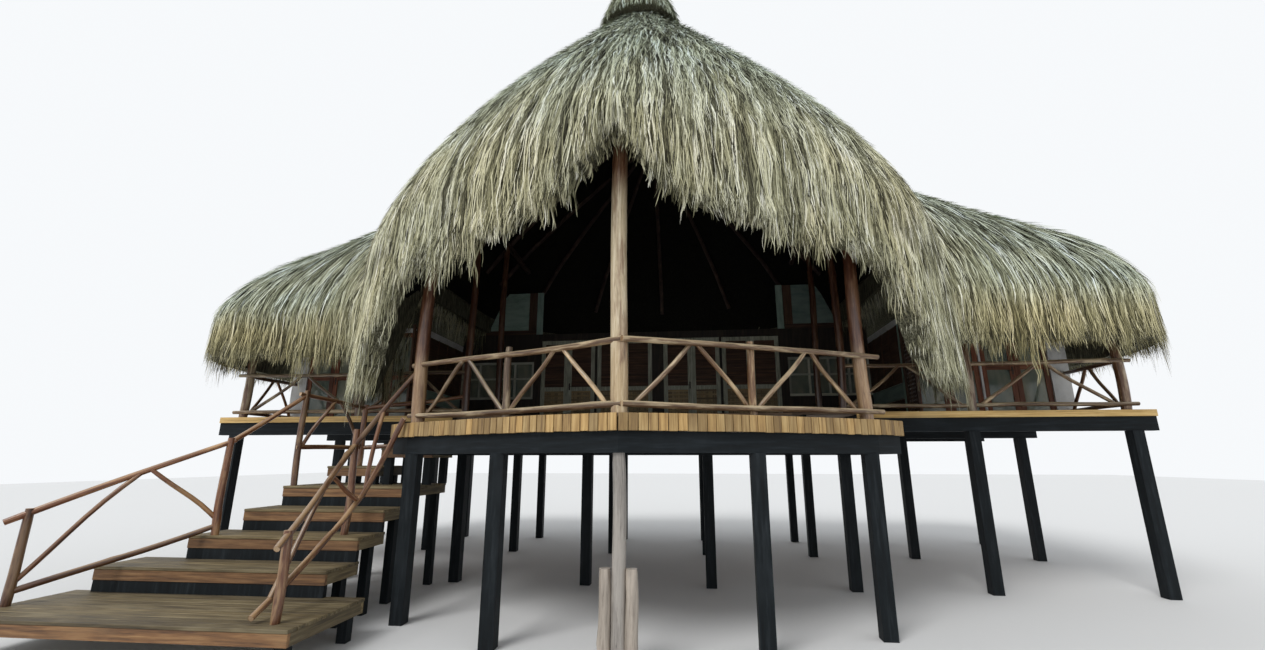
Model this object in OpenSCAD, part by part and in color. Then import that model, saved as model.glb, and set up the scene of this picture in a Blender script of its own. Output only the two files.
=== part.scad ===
// Thatched stilt house: a prow-shaped veranda under a tall bell roof, with two lower wings.
// The origin is on the ground under the centre post. X is to the right, Y to the back, Z up.

/* [Levels] */
// Height of the prow deck above the ground
deck_h = 2650; // [2300:10:3000]
// Rise from the prow deck to the main floor
floor_rise = 310; // [250:5:350]
// Height of the handrails above their deck
rail_h = 900; // [800:10:1050]
// Thickness of the floor boards
board_t = 40; // [30:1:50]
// Depth of the floor beams
beam_d = 240; // [200:5:280]
// Width of the floor beams
beam_w = 120; // [90:5:160]

/* [Posts] */
// Diameter of the centre post
centre_post_d = 210; // [180:5:260]
// Diameter of the posts at the two ends of the prow
front_post_d = 185; // [150:5:220]
// Diameter of the veranda's inner posts
side_post_d = 140; // [110:5:170]
// Sideways place of the posts at the ends of the prow
front_post_x = 3190; // [3000:10:3300]
// Depth of the posts at the ends of the prow
front_post_y = 1460; // [1300:10:1600]
// Sideways place of the veranda's inner posts
side_post_x = 3580; // [3450:10:3700]
// Depth of the wing's post line, where the main floor starts
wing_line_y = 4040; // [3900:10:4200]
// Spacing of the veranda's inner posts
side_post_gap = 1800; // [1600:10:1850]

/* [Wings] */
// Sideways place of the wing's inner post
wing_post_x = 5800; // [5600:10:6200]
// Spacing of the two front posts of a wing
wing_bay = 2520; // [2400:10:2560]
// Sideways place of the wing deck's end
wing_end_x = 8650; // [8560:10:8900]
// Depth of the wing rooms' front wall
room_front_y = 5400; // [5200:10:5600]
// Sideways place of the wall between the hall and a wing room
room_side_x = 5300; // [5200:10:5400]
// Depth of the hall's front wall, with the louvred doors
hall_front_y = 7600; // [7400:10:7900]
// Depth of the back walls
back_y = 9300; // [9100:10:9350]
// Thickness of the walls
wall_t = 100; // [80:5:140]
// Height of the hall's walls above the main floor
wall_h = 2450; // [2350:10:2500]
// Height of the wing rooms' walls above the main floor
room_wall_h = 2150; // [2130:5:2160]
// Reach of the floor behind the back walls
deck_back = 300; // [200:10:400]

/* [Roof] */
// Height of the roof's peak above the prow deck
peak_h = 8800; // [8300:10:9100]
// Height of the shoulder, where the thatch turns down, above the prow deck
shoulder_h = 2600; // [2500:10:2800]
// Half width of the main roof
roof_half_w = 5110; // [5050:10:5250]
// Depth of the ridge's front end
ridge_front_y = 2980; // [2900:10:3100]
// Length of the ridge
ridge_len = 4000; // [3700:10:4200]
// Gap between the centre post and the thatch that hangs in front of it
hem_gap = 20; // [5:5:80]
// Reach of the roof behind the ridge
roof_back_reach = 4200; // [4100:10:4400]
// Thickness of the thatch
thatch_t = 300; // [240:10:340]
// Height of the arched eave at the centre post, above the prow deck
arch_top_h = 3550; // [3400:10:3700]
// Height of the arched eave in front of the end posts, above the prow deck
arch_side_h = 2150; // [2100:10:2300]
// Height of the thatch curtain's hem at the sides, above the prow deck
curtain_h = 650; // [500:10:800]
// Height of a wing's ridge where it leaves the main roof, above the prow deck
wing_ridge_h = 6750; // [6400:10:6900]
// Height of a wing's ridge at its outer end, above the prow deck
wing_tip_h = 4850; // [4700:10:5000]
// Height of a wing's shoulder above the prow deck
wing_shoulder_h = 2120; // [2080:10:2250]
// Reach of the wing's thatch in front of its ridge
wing_front_reach = 3540; // [3500:10:3650]
// Reach of the wing's thatch behind its ridge
wing_back_reach = 4800; // [4700:10:4950]
// Sideways place of the wing thatch's outer edge
wing_thatch_x = 8980; // [8940:10:9100]
// Height of the wing thatch's hem above the prow deck
wing_hem_h = 1350; // [1200:10:1500]

/* [Rails] */
// Diameter of the handrail logs
rail_d = 75; // [60:1:90]
// Diameter of the diagonal braces
brace_d = 60; // [45:1:70]
// Diameter of the railing's own short posts
baluster_d = 100; // [80:1:120]
// Height of the bottom rail above its deck
low_rail_h = 70; // [60:5:150]

/* [Stair] */
// Rise of one step
riser = 314; // [280:1:320]
// Thickness of a tread's frame
tread_t = 170; // [140:5:200]
// Width of the stair's stilts
stair_stilt_w = 120; // [90:5:150]

/* [Doors] */
// Thickness of a door leaf
leaf_t = 45; // [38:1:55]
// Height of a louvred door leaf
leaf_h = 2260; // [2100:10:2300]
// Width of a louvred door leaf
leaf_w = 715; // [650:5:720]
// Width of a leaf's frame members
stile_w = 100; // [80:5:120]
// Gap round a leaf
leaf_gap = 6; // [5:1:10]
// Width of the pier between the two groups of louvred doors
pier_w = 300; // [240:10:320]
// Width of the post between two pairs of louvred doors
mullion_w = 60; // [50:5:80]
// Height of a glazed door leaf
glass_leaf_h = 2040; // [1950:10:2060]
// Width of a glazed door leaf
glass_leaf_w = 640; // [600:5:650]
// Thickness of the glass
glass_t = 8; // [5:1:10]

/* [Stilts] */
// Width of the square stilts
stilt_w = 180; // [150:5:220]
// Diameter of the log under the centre post
centre_stilt_d = 150; // [130:5:180]

/* [Hidden] */
$fn = 24;
floor_z = deck_h + floor_rise;
seat = 0.3;

// A round log between two points
module log_between(a, b, d) {
    v = b - a;
    l = norm(v);
    translate(a) rotate([0, acos(v[2] / l), atan2(v[1], v[0])]) cylinder(h = l, d = d, $fn = d < 110 ? 14 : 20);
}

// Both sides of the house
module both_sides() {
    children();
    mirror([1, 0, 0]) children();
}

// The main roof's outline: stations round the ridge, each [side, ridge y, angle].
// In front, the plan turns from a round ring at the ridge to a prow at the eaves
plan_round = 1.72;
plan_prow = 1.5;
function plan_n(a, r) = a < 0 ? plan_round + (plan_prow - plan_round) * r : 2;
function super_cos(a, n) = sign(cos(a)) * pow(abs(cos(a)), 2 / n);
function super_sin(a, n) = sign(sin(a)) * pow(abs(sin(a)), 2 / n);
function out_x(s, r) = s[0] * super_cos(s[2], plan_n(s[2], r));
function out_y(s, r) = super_sin(s[2], plan_n(s[2], r));
ridge_back_y = ridge_front_y + ridge_len;
right_half = concat([for (i = [0 : 14]) [1, ridge_front_y, -90 + 90 * i / 14]],
    [for (i = [1 : 3]) [1, ridge_front_y + ridge_len * i / 4, 0]],
    [for (i = [0 : 8]) [1, ridge_back_y, 90 * i / 8]]);
main_stations = concat(right_half, [for (i = [len(right_half) - 2 : -1 : 1])
    let (s = right_half[i]) [-1, s[1], s[2]]]);

// The bell profile: the share of the height left at a share of the reach, and its inverse
bell_a = 0.75;
bell_b = 0.585;
function bell(r) = pow(1 - pow(r, bell_a), bell_b);
function bell_reach(h) = pow(1 - pow(h, 1 / bell_b), 1 / bell_a);
function smooth(t) = let (u = min(1, max(0, t))) u * u * (3 - 2 * u);

// The hem's height at a station of the main roof: a pointed arch in front, curtains at the sides
fringe = 450;
back_hem_h = 2000;
wing_cut_h = shoulder_h + 250;
arch_spread = 600;
function arch(x) = arch_side_h + (arch_top_h - arch_side_h) * exp(-x / arch_spread);
arch_share = bell_reach((arch_top_h + fringe - shoulder_h) / (peak_h - shoulder_h));
roof_front_reach = (ridge_front_y + centre_post_d / 2 + hem_gap) / arch_share + thatch_t;
function main_reach(s, inset) = (s[2] < 0 ? roof_front_reach : roof_back_reach) - inset;
function main_hem(s) = let (x = roof_half_w * abs(out_x(s, 1)))
    s[1] > ridge_front_y + 900 ? back_hem_h + (wing_cut_h - back_hem_h) * smooth((x - 3000) / 400)
    : arch(x) + (curtain_h - arch(x)) * smooth((x - 3450) / 850);

// Rings of a thatch skin, from the ridge to the hem
ridge_r = 0.04;
skin_steps = 9;
function ring_share(k) = let (t = k / skin_steps) sin(90 * t) * pow(t, 0.4);
function top_share(hem_h, ridge_h) = bell_reach(max(0, (hem_h + fringe - shoulder_h) / (ridge_h - shoulder_h)));
function skin_point(s, r, inset, z) = [(roof_half_w - inset) * r * out_x(s, r), s[1] + main_reach(s, inset) * r * out_y(s, r), z];
function main_skin(inset, drop, low) = concat(
    [for (k = [0 : skin_steps]) [for (s = main_stations)
        let (r = ridge_r + (top_share(main_hem(s), peak_h) - ridge_r) * ring_share(k))
        skin_point(s, r, inset, deck_h + shoulder_h + (peak_h - drop - shoulder_h) * bell(r))]],
    [[for (s = main_stations)
        skin_point(s, top_share(main_hem(s), peak_h), inset, deck_h + (low ? 300 : main_hem(s)))]]);

// A wing's outline: along the front, round the end and back along the rear
wing_ridge_y = wing_line_y + 2260;
wing_tip_x = wing_thatch_x - 1280;
wing_join_x = room_side_x - 1300;
wing_root_x = 1500;
wing_n = 2.37;
wing_a = 1.17;
wing_b = 0.68;
function wing_bell(r) = pow(1 - pow(r, wing_a), wing_b);
wing_front = [for (i = [0 : 5]) [wing_root_x + (wing_tip_x - wing_root_x) * i / 5, 0, -1]];
wing_end = [for (i = [1 : 11]) let (a = -90 + 180 * i / 12) [wing_tip_x, super_cos(a, wing_n), super_sin(a, wing_n)]];
wing_stations = concat(wing_front, wing_end, [for (i = [5 : -1 : 0]) [wing_front[i][0], 0, 1]]);
function wing_ridge(x) = wing_tip_h + (wing_ridge_h - wing_tip_h) * (wing_tip_x - x) / (wing_tip_x - wing_join_x);
function wing_reach(s, inset) = (s[2] < 0 ? wing_front_reach : wing_back_reach) - inset;
function wing_point(s, r, inset, x0, z) = [x0 + (wing_thatch_x - wing_tip_x - inset) * r * s[1], wing_ridge_y + wing_reach(s, inset) * r * s[2], z];
function wing_skin(inset, drop) = concat(
    [for (k = [0 : skin_steps]) [for (s = wing_stations)
        let (r = ridge_r + (1 - ridge_r) * sin(90 * k / skin_steps), x0 = max(s[0], wing_root_x + inset))
        wing_point(s, r, inset, x0, deck_h + wing_shoulder_h + (wing_ridge(x0) - drop - wing_shoulder_h) * wing_bell(r))]],
    [[for (s = wing_stations) wing_point(s, 1, inset, max(s[0], wing_root_x + inset), deck_h + wing_hem_h)]]);

// Triangles between the rings of one skin, facing outwards or inwards
function skin_faces(n, m, o, out) = [for (k = [0 : m - 2]) for (i = [0 : n - 1])
    each let (j = (i + 1) % n, a = o + k * n + i, b = o + k * n + j, c = o + (k + 1) * n + j, d = o + (k + 1) * n + i)
        out ? [[a, b, c], [a, c, d]] : [[a, c, b], [a, d, c]]];

// The strip that closes a skin along the ridge, between stations and their mirror images
function mate(i, n, round) = round ? (n - i) % n : n - 1 - i;
function ridge_faces(n, o, round, up) = [for (i = [0 : floor(n / 2) - 1])
    each let (a = i, b = i + 1, c = mate(i + 1, n, round), d = mate(i, n, round),
              t = concat(b == c ? [] : [[a, c, b]], a == d ? [] : [[a, d, c]]))
        [for (f = t) up ? [for (v = f) o + v] : [o + f[0], o + f[2], o + f[1]]]];

// A thatch shell between an outer and an inner skin
module shell(outer, inner, round) {
    n = len(outer[0]);
    m = len(outer);
    o = m * n;
    e = (m - 1) * n;
    polyhedron(
        points = concat([for (ring = outer) each ring], [for (ring = inner) each ring]),
        faces = concat(
            ridge_faces(n, 0, round, true),
            skin_faces(n, m, 0, true),
            [for (i = [0 : n - 1]) each let (j = (i + 1) % n) [[e + i, e + j, o + e + j], [e + i, o + e + j, o + e + i]]],
            skin_faces(n, m, o, false),
            ridge_faces(n, o, round, false)),
        convexity = 6);
}

// The solid body inside a skin
module skin_solid(outer) {
    n = len(outer[0]);
    m = len(outer);
    polyhedron(
        points = [for (ring = outer) each ring],
        faces = concat([[for (i = [n - 1 : -1 : 0]) i]], skin_faces(n, m, 0, true), [[for (i = [0 : n - 1]) (m - 1) * n + i]]),
        convexity = 4);
}

// The underside of the main roof above a point of the plan
thatch_drop = thatch_t * 1.4;
function plan_share(x, y, n) = let (dy = y < ridge_front_y ? ridge_front_y - y : max(0, y - ridge_back_y),
    ry = y < ridge_front_y ? roof_front_reach : roof_back_reach)
    pow(pow(abs(x) / (roof_half_w - thatch_t), n) + pow(dy / (ry - thatch_t), n), 1 / n);
function under_roof(x, y) = let (side = y < ridge_front_y ? -1 : 1, r = plan_share(x, y, plan_n(side, 0.8)), q = plan_share(x, y, plan_n(side, min(1, r))))
    deck_h + shoulder_h + (peak_h - thatch_drop - shoulder_h) * bell(min(1, q));

module main_thatch() {
    color("darkkhaki") shell(main_skin(0, 0, false), main_skin(thatch_t, thatch_drop, false), true);
}

// The bundle of thatch that caps the ridge: [share of its height, share of its radius]
cap_r = 780;
cap_h = 1150;
cap_sink = 820;
cap_base_h = peak_h - cap_sink;
cap_profile = [[0, 1], [0.42, 0.8], [0.76, 0.5], [0.99, 0.16]];
module peak_cap() {
    color("gray") difference() {
        hull() for (y = [ridge_front_y, ridge_back_y], c = cap_profile)
            translate([0, y, deck_h + cap_base_h + cap_h * c[0]]) cylinder(h = 0.01 * cap_h, r = cap_r * c[1], $fn = 20);
        skin_solid(main_skin(-seat, -seat, true));
    }
}

module wing_shell() {
    shell(wing_skin(0, 0), wing_skin(thatch_t, thatch_drop), false);
}

module right_wing_thatch() {
    color("tan") difference() {
        wing_shell();
        skin_solid(main_skin(-seat, 0, true));
    }
}

module left_wing_thatch() {
    color("tan") difference() {
        mirror([1, 0, 0]) wing_shell();
        skin_solid(main_skin(-seat, 0, true));
    }
}

// A bent pole: one round bar that follows a list of points
pole_sides = 8;
function unit(v) = v / norm(v);
function pole_dir(p, i) = unit(p[min(i + 1, len(p) - 1)] - p[max(i - 1, 0)]);
function pole_ring(p, i, d) = let (t = pole_dir(p, i), u = unit(cross(abs(t[2]) > 0.9 ? [1, 0, 0] : [0, 0, 1], t)), v = cross(t, u))
    [for (k = [0 : pole_sides - 1]) let (a = 360 * k / pole_sides) p[i] + (u * cos(a) + v * sin(a)) * d / 2];
module bent_pole(p, d) {
    n = pole_sides;
    m = len(p);
    polyhedron(
        points = [for (i = [0 : m - 1]) each pole_ring(p, i, d)],
        faces = concat([[for (k = [0 : n - 1]) k]],
            [for (i = [0 : m - 2]) for (k = [0 : n - 1]) each let (j = (k + 1) % n)
                [[i * n + k, (i + 1) * n + k, (i + 1) * n + j], [i * n + k, (i + 1) * n + j, i * n + j]]],
            [[for (k = [n - 1 : -1 : 0]) (m - 1) * n + k]]),
        convexity = 3);
}

// Poles under the main roof: the ridge pole, the rafters that fan out from it, and the plates on the posts
ridge_pole_d = 200;
ridge_pole_z = deck_h + shoulder_h + (peak_h - thatch_drop - shoulder_h) * bell(ridge_r) - ridge_pole_d / 2 - seat;
rafter_d = 110;
plate_d = 140;
rafter_stations = concat([for (i = [0 : 4]) [1, ridge_front_y, -90 + 90 * i / 4]],
    [for (i = [1 : 3]) [1, ridge_front_y + ridge_len * i / 4, 0]], [for (i = [0 : 3]) [1, ridge_back_y, 90 * i / 3]]);
function under_point(s, r, down) = skin_point(s, r, thatch_t, deck_h + shoulder_h + (peak_h - thatch_drop - shoulder_h) * bell(r) - down);
module rafter(s) {
    head = [s[0] * 60 * cos(s[2]), s[1] + 60 * sin(s[2]), ridge_pole_z - 40];
    bent_pole(concat([head], [for (r = [0.12, 0.3, 0.5, 0.7, 0.86]) under_point(s, r, rafter_d * (0.9 + 0.9 * r))]), rafter_d);
}
function plate_z(x, y, d) = under_roof(x + d / 2, y < ridge_front_y ? y - d / 2 : y) - plate_d / 2 - 60;
side_ys = [for (i = [0 : 1]) wing_line_y + side_post_gap * i];
module roof_posts(base, grow) {
    post(0, 0, base, plate_z(0, 0, centre_post_d), centre_post_d + grow);
    both_sides() {
        post(front_post_x, front_post_y, base, plate_z(front_post_x, front_post_y, front_post_d), front_post_d + grow);
        for (y = side_ys) post(side_post_x, y, base, plate_z(side_post_x, y, side_post_d), side_post_d + grow);
    }
}

module main_roof_frame() {
    color("saddlebrown") difference() {
        union() {
            log_between([0, ridge_front_y - 90, ridge_pole_z], [0, ridge_back_y + 90, ridge_pole_z], ridge_pole_d);
            translate([-60, ridge_front_y - 60, ridge_pole_z]) cube([120, ridge_len + 120, ridge_pole_d / 2 + seat / 2]);
            both_sides() {
                for (s = rafter_stations) rafter(s);
                bent_pole([[0, 0, plate_z(0, 0, centre_post_d)],
                    [front_post_x, front_post_y, plate_z(front_post_x, front_post_y, front_post_d)],
                    for (y = concat(side_ys, [hall_front_y])) [side_post_x, y, plate_z(side_post_x, y, side_post_d)]], plate_d);
            }
        }
        translate([0, 0, seat]) roof_posts(deck_h + shoulder_h, 2 * seat);
    }
}

// The sawn ridge beam of a wing, which follows the slope of its ridge
wing_beam_w = 120;
wing_fall = atan((wing_ridge_h - wing_tip_h) / (wing_tip_x - wing_join_x) * wing_bell(ridge_r));
function wing_under(x) = deck_h + wing_shoulder_h + (wing_ridge(x) - thatch_drop - wing_shoulder_h) * wing_bell(ridge_r);
module right_wing_roof_frame() {
    x0 = room_side_x + 100;
    color("saddlebrown") translate([x0, wing_ridge_y - wing_beam_w / 2, wing_under(x0) - seat]) rotate([0, wing_fall, 0])
        translate([0, 0, -wing_beam_w]) cube([(wing_tip_x - x0) / cos(wing_fall), wing_beam_w, wing_beam_w]);
}

module left_wing_roof_frame() {
    mirror([1, 0, 0]) right_wing_roof_frame();
}

// Posts
module post(x, y, z0, z1, d) {
    translate([x, y, z0]) cylinder(h = z1 - z0, d = d);
}

module centre_post() {
    color("sienna") post(0, 0, deck_h + seat, plate_z(0, 0, centre_post_d), centre_post_d);
}

module veranda_posts() {
    color("brown") both_sides() {
        post(front_post_x, front_post_y, deck_h + seat, plate_z(front_post_x, front_post_y, front_post_d), front_post_d);
        for (y = side_ys) post(side_post_x, y, floor_z + seat, plate_z(side_post_x, y, side_post_d), side_post_d);
    }
}

wing_post_d = 150;
wing_plate_z = deck_h + wing_shoulder_h - 80;
wing_posts_x = [wing_post_x, wing_post_x + wing_bay];
module wing_posts() {
    color("brown") both_sides() {
        for (x = wing_posts_x) post(x, wing_line_y, floor_z + seat, wing_plate_z, wing_post_d);
        log_between([room_side_x + 100, wing_line_y, wing_plate_z], [wing_posts_x[1] + 70, wing_line_y, wing_plate_z], wing_post_d * 0.7);
    }
}

// Decks
fascia_t = 30;
fascia_h = 200;
prow_edge = 130;
prow_end_x = side_post_x + 120;
prow_front = [[0, -prow_edge], [1960, 700], [front_post_x + prow_edge, front_post_y - 60]];
module prow_outline(grow) {
    offset(delta = grow) polygon([[0, -prow_edge], [1000, 170], [2000, 660], [3300, 1360], [prow_end_x, 1700],
        [prow_end_x, wing_line_y - 200], [-prow_end_x, wing_line_y - 200], [-prow_end_x, 1700], [-3300, 1360], [-2000, 660], [-1000, 170]]);
}

module prow_deck() {
    color("peru") translate([0, 0, deck_h - board_t]) linear_extrude(board_t) prow_outline(0);
}

module prow_fascia() {
    color("chocolate") translate([0, 0, deck_h - fascia_h]) linear_extrude(fascia_h) intersection() {
        difference() {
            prow_outline(fascia_t + seat);
            prow_outline(seat);
        }
        translate([-prow_end_x - 100, -1000]) square([2 * prow_end_x + 200, wing_line_y + 700]);
    }
}

deck_edge_y = wing_line_y - 150;
module slab(x0, x1, y0, y1, top, t) {
    translate([x0, y0, top - t]) cube([x1 - x0, y1 - y0, t]);
}

module main_floor() {
    color("burlywood") slab(-room_side_x, room_side_x, deck_edge_y, back_y + deck_back, floor_z, board_t);
}

module right_wing_deck() {
    color("burlywood") slab(room_side_x + seat, wing_end_x, deck_edge_y, back_y + deck_back, floor_z, board_t);
}

module left_wing_deck() {
    mirror([1, 0, 0]) right_wing_deck();
}

wing_fascia_h = 110;
module deck_fascias() {
    color("goldenrod") both_sides() {
        translate([prow_end_x + 60, deck_edge_y - fascia_t - seat, floor_z - wing_fascia_h]) cube([wing_end_x - prow_end_x - 60, fascia_t, wing_fascia_h]);
        translate([wing_end_x + seat, deck_edge_y, floor_z - wing_fascia_h]) cube([fascia_t, back_y + deck_back - deck_edge_y, wing_fascia_h]);
    }
}

// Beams: short joists under the boards, and main beams below the fascia's edge
joist_d = fascia_h - board_t;
joist_w = 70;
prow_beam_top = deck_h - fascia_h - 2 * seat;
prow_beam_in = 30;
function prow_edge_y(x) = lookup(x, [[0, -prow_edge], [1000, 170], [2000, 660], [3300, 1360]]);
module prow_beams() {
    color("darkslategray") {
        translate([0, 0, prow_beam_top - beam_d]) linear_extrude(beam_d) difference() {
            prow_outline(-prow_beam_in);
            prow_outline(-prow_beam_in - beam_w);
        }
        translate([0, 0, prow_beam_top + seat]) linear_extrude(joist_d - seat) intersection() {
            prow_outline(-prow_beam_in);
            for (i = [-6 : 6]) translate([i * prow_end_x / 6.2 - joist_w / 2, -prow_edge]) square([joist_w, wing_line_y]);
        }
    }
}

floor_joist_d = wing_fascia_h - board_t;
floor_beam_top = floor_z - wing_fascia_h - 2 * seat;
floor_beam_bottom = floor_beam_top - beam_d;
floor_beam_ys = [deck_edge_y, 7200, back_y + deck_back - beam_w];
module floor_beams() {
    color("darkslategray") {
        for (y = floor_beam_ys) slab(-wing_end_x, wing_end_x, y, y + beam_w, floor_beam_top, beam_d);
        for (x = [-wing_end_x + joist_w : (2 * wing_end_x - 2 * joist_w) / 18 : wing_end_x - joist_w + 1])
            slab(x - joist_w / 2, x + joist_w / 2, deck_edge_y, back_y + deck_back, floor_z - board_t - seat, floor_joist_d);
    }
}

// Stilts
module stilt(x, y, top) {
    translate([x - stilt_w / 2, y - stilt_w / 2, 0]) cube([stilt_w, stilt_w, top]);
}

stilt_xs = [1100, 3500, 5700, 8300];
module hall_stilts() {
    color("black") both_sides() {
        for (x = [stilt_xs[0], stilt_xs[1]]) for (y = floor_beam_ys) stilt(x, y + beam_w / 2, floor_beam_bottom - seat);
        for (x = [1600, front_post_x - 40]) stilt(x, prow_edge_y(x) + 105, prow_beam_top - beam_d - seat);
    }
}

module wing_stilts() {
    color("black") both_sides()
        for (x = [stilt_xs[2], stilt_xs[3]]) for (y = floor_beam_ys) stilt(x, y + beam_w / 2, floor_beam_bottom - seat);
}

stub_h = 1000;
stub_d = 140;
module centre_stilt() {
    color("gray") {
        post(0, 0, 0, prow_beam_top - beam_d - seat, centre_stilt_d);
        both_sides() post((centre_stilt_d + stub_d) / 2 + seat, 0, 0, stub_h, stub_d);
    }
}

// A railing panel between two points on its deck: two rails, and in each bay two braces that rise to its middle
brace_gap = 45;
module railing(a, b, bays) {
    v = (b - a) / bays;
    u = unit(b - a);
    low = [0, 0, low_rail_h + rail_d / 2];
    high = [0, 0, rail_h - rail_d / 2];
    log_between(a + high, b + high, rail_d);
    log_between(a + low, b + low, rail_d);
    for (i = [0 : bays - 1]) {
        log_between(a + v * i + low + u * 90, a + v * (i + 0.5) + high - u * brace_gap, brace_d);
        log_between(a + v * (i + 1) + low - u * 90, a + v * (i + 0.5) + high + u * brace_gap, brace_d);
    }
    if (bays > 1) for (i = [1 : bays - 1]) translate(a + v * i) cylinder(h = rail_h + 60, d = baluster_d);
}

module prow_railing_right() {
    a = [0, 0, deck_h + seat];
    b = [front_post_x, front_post_y, deck_h + seat];
    u = (b - a) / norm(b - a);
    color("firebrick") railing(a + u * (centre_post_d / 2 + seat), b - u * (front_post_d / 2 + seat), 2);
}

module prow_railing_left() {
    mirror([1, 0, 0]) prow_railing_right();
}

module right_wing_railing() {
    d = side_post_d / 2 + seat;
    w = wing_post_d / 2 + seat;
    z = floor_z + seat;
    color("firebrick") {
        railing([side_post_x + d, wing_line_y, z], [wing_posts_x[0] - w, wing_line_y, z], 1);
        railing([wing_posts_x[0] + w, wing_line_y, z], [wing_posts_x[1] - w, wing_line_y, z], 1);
    }
}

module left_wing_railing() {
    mirror([1, 0, 0]) right_wing_railing();
}

// The railing across a wing deck's end, from the corner post to the room
module right_end_railing() {
    x = wing_posts_x[1];
    color("firebrick") railing([x, wing_line_y + wing_post_d / 2 + seat, floor_z + seat], [x, room_front_y - seat, floor_z + seat], 1);
}

module left_end_railing() {
    mirror([1, 0, 0]) right_end_railing();
}

// Stair: level k of the flight, counted from the lowest landing
function level_z(k) = deck_h - riser * (7 - k);
module tread(x0, x1, y0, y1, k) {
    slab(x0, x1, y0, y1, level_z(k), tread_t);
}

stair_right_x = -3800;
stair_head_x = -(prow_end_x - prow_beam_in + seat);
step_lap = 110;
step_fronts = [-550, 680, 1290, 1870, 2500, 3000, 3000];
step_lefts = [-7400, -7100, -6400, -6100, -6000, -5600, -4630];
step_rights = [-3300, stair_right_x, stair_right_x, stair_right_x, -3760, -4640, stair_head_x];
landing_back = wing_line_y - 190;
function step_back(k) = k < 4 ? step_fronts[k + 1] + step_lap : landing_back;
module step(k) {
    tread(step_lefts[k], step_rights[k], step_fronts[k], step_back(k), k);
}

module stair_landing() {
    color("peru") step(0);
}

module lower_steps() {
    color("peru") for (k = [1 : 3]) step(k);
}

module upper_landing() {
    color("peru") step(4);
}

module upper_steps() {
    color("peru") for (k = [5, 6]) step(k);
}

// The stair's stilts, and the dark bearers that carry each step's nosing on the step below
module stair_stilts() {
    w = stair_stilt_w;
    inset = 60;
    color("black") {
        for (k = [0 : 4]) for (x = [step_lefts[k] + inset, step_rights[k] - inset - w], y = k == 0 || k == 4 ? [step_fronts[k] + (k == 0 ? inset : step_lap + 20), step_back(k) - inset - w - 60] : [step_back(k) - step_lap - inset - w])
            translate([x, y, 0]) cube([w, w, level_z(k) - tread_t - seat]);
        for (k = [1 : 4])
            translate([step_lefts[k] + 20, step_fronts[k] + 20, level_z(k - 1) + seat])
                cube([step_rights[k] - step_lefts[k] - 40, step_lap - 40, riser - tread_t - 2 * seat]);
        for (k = [5, 6]) for (x = [step_lefts[k] + inset, step_rights[k] - inset - w], y = [step_fronts[k] + inset, landing_back - inset - w])
            translate([x, y, level_z(4) + seat]) cube([w, w, level_z(k) - level_z(4) - tread_t - 2 * seat]);
    }
}

// Posts of the stair's railings, each [x, y, level it stands on, height]
right_foot_post = [-3609, -350, 0, 930];
right_mid_post = [-4217, 1600, 2, 1500];
left_foot_post = [-7300, -50, 0, 1100];
left_low_post = [-6060, 1380, 2, 1370];
left_mid_post = [-5875, 2600, 4, 1600];
left_top_post = [-5440, 3700, 5, 1140];
function post_spot(p, up) = [p[0], p[1], level_z(p[2]) + up];
function post_head(p, down) = post_spot(p, p[3] - down);
function along(a, b, t) = a + (b - a) * t;
module stair_post(p) {
    translate(post_spot(p, seat)) cylinder(h = p[3], d = baluster_d, $fn = 14);
}

module stair_right_railing() {
    veranda = [-front_post_x, front_post_y, deck_h + rail_h - rail_d / 2];
    high = post_head(right_mid_post, 240);
    low = post_head(right_foot_post, 40);
    skirt = [[-front_post_x - 50, front_post_y - 122, deck_h + 170], [-front_post_x - 110, front_post_y - 190, deck_h + 60],
        [-3950, 1480, level_z(3) + 210], [-3940, 900, level_z(1) + 430], [-3830, -430, level_z(0) + 62]];
    color("firebrick") difference() {
        union() {
            for (p = [right_mid_post, right_foot_post]) stair_post(p);
            log_between(high, veranda, rail_d);
            log_between(along(high, low, -0.04), along(high, low, 1.12), rail_d);
            bent_pole(skirt, rail_d);
            log_between(along(skirt[2], skirt[3], 0.1), along(high, low, 0.42), brace_d);
            log_between(along(skirt[3], skirt[4], 0.8), along(high, low, 0.48), brace_d);
            log_between(along(skirt[1], skirt[2], 0.9), along(high, veranda, 0.42), brace_d);
        }
        translate([-front_post_x, front_post_y, deck_h]) cylinder(h = 2 * rail_h, d = front_post_d + 2 * seat);
    }
}

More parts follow.
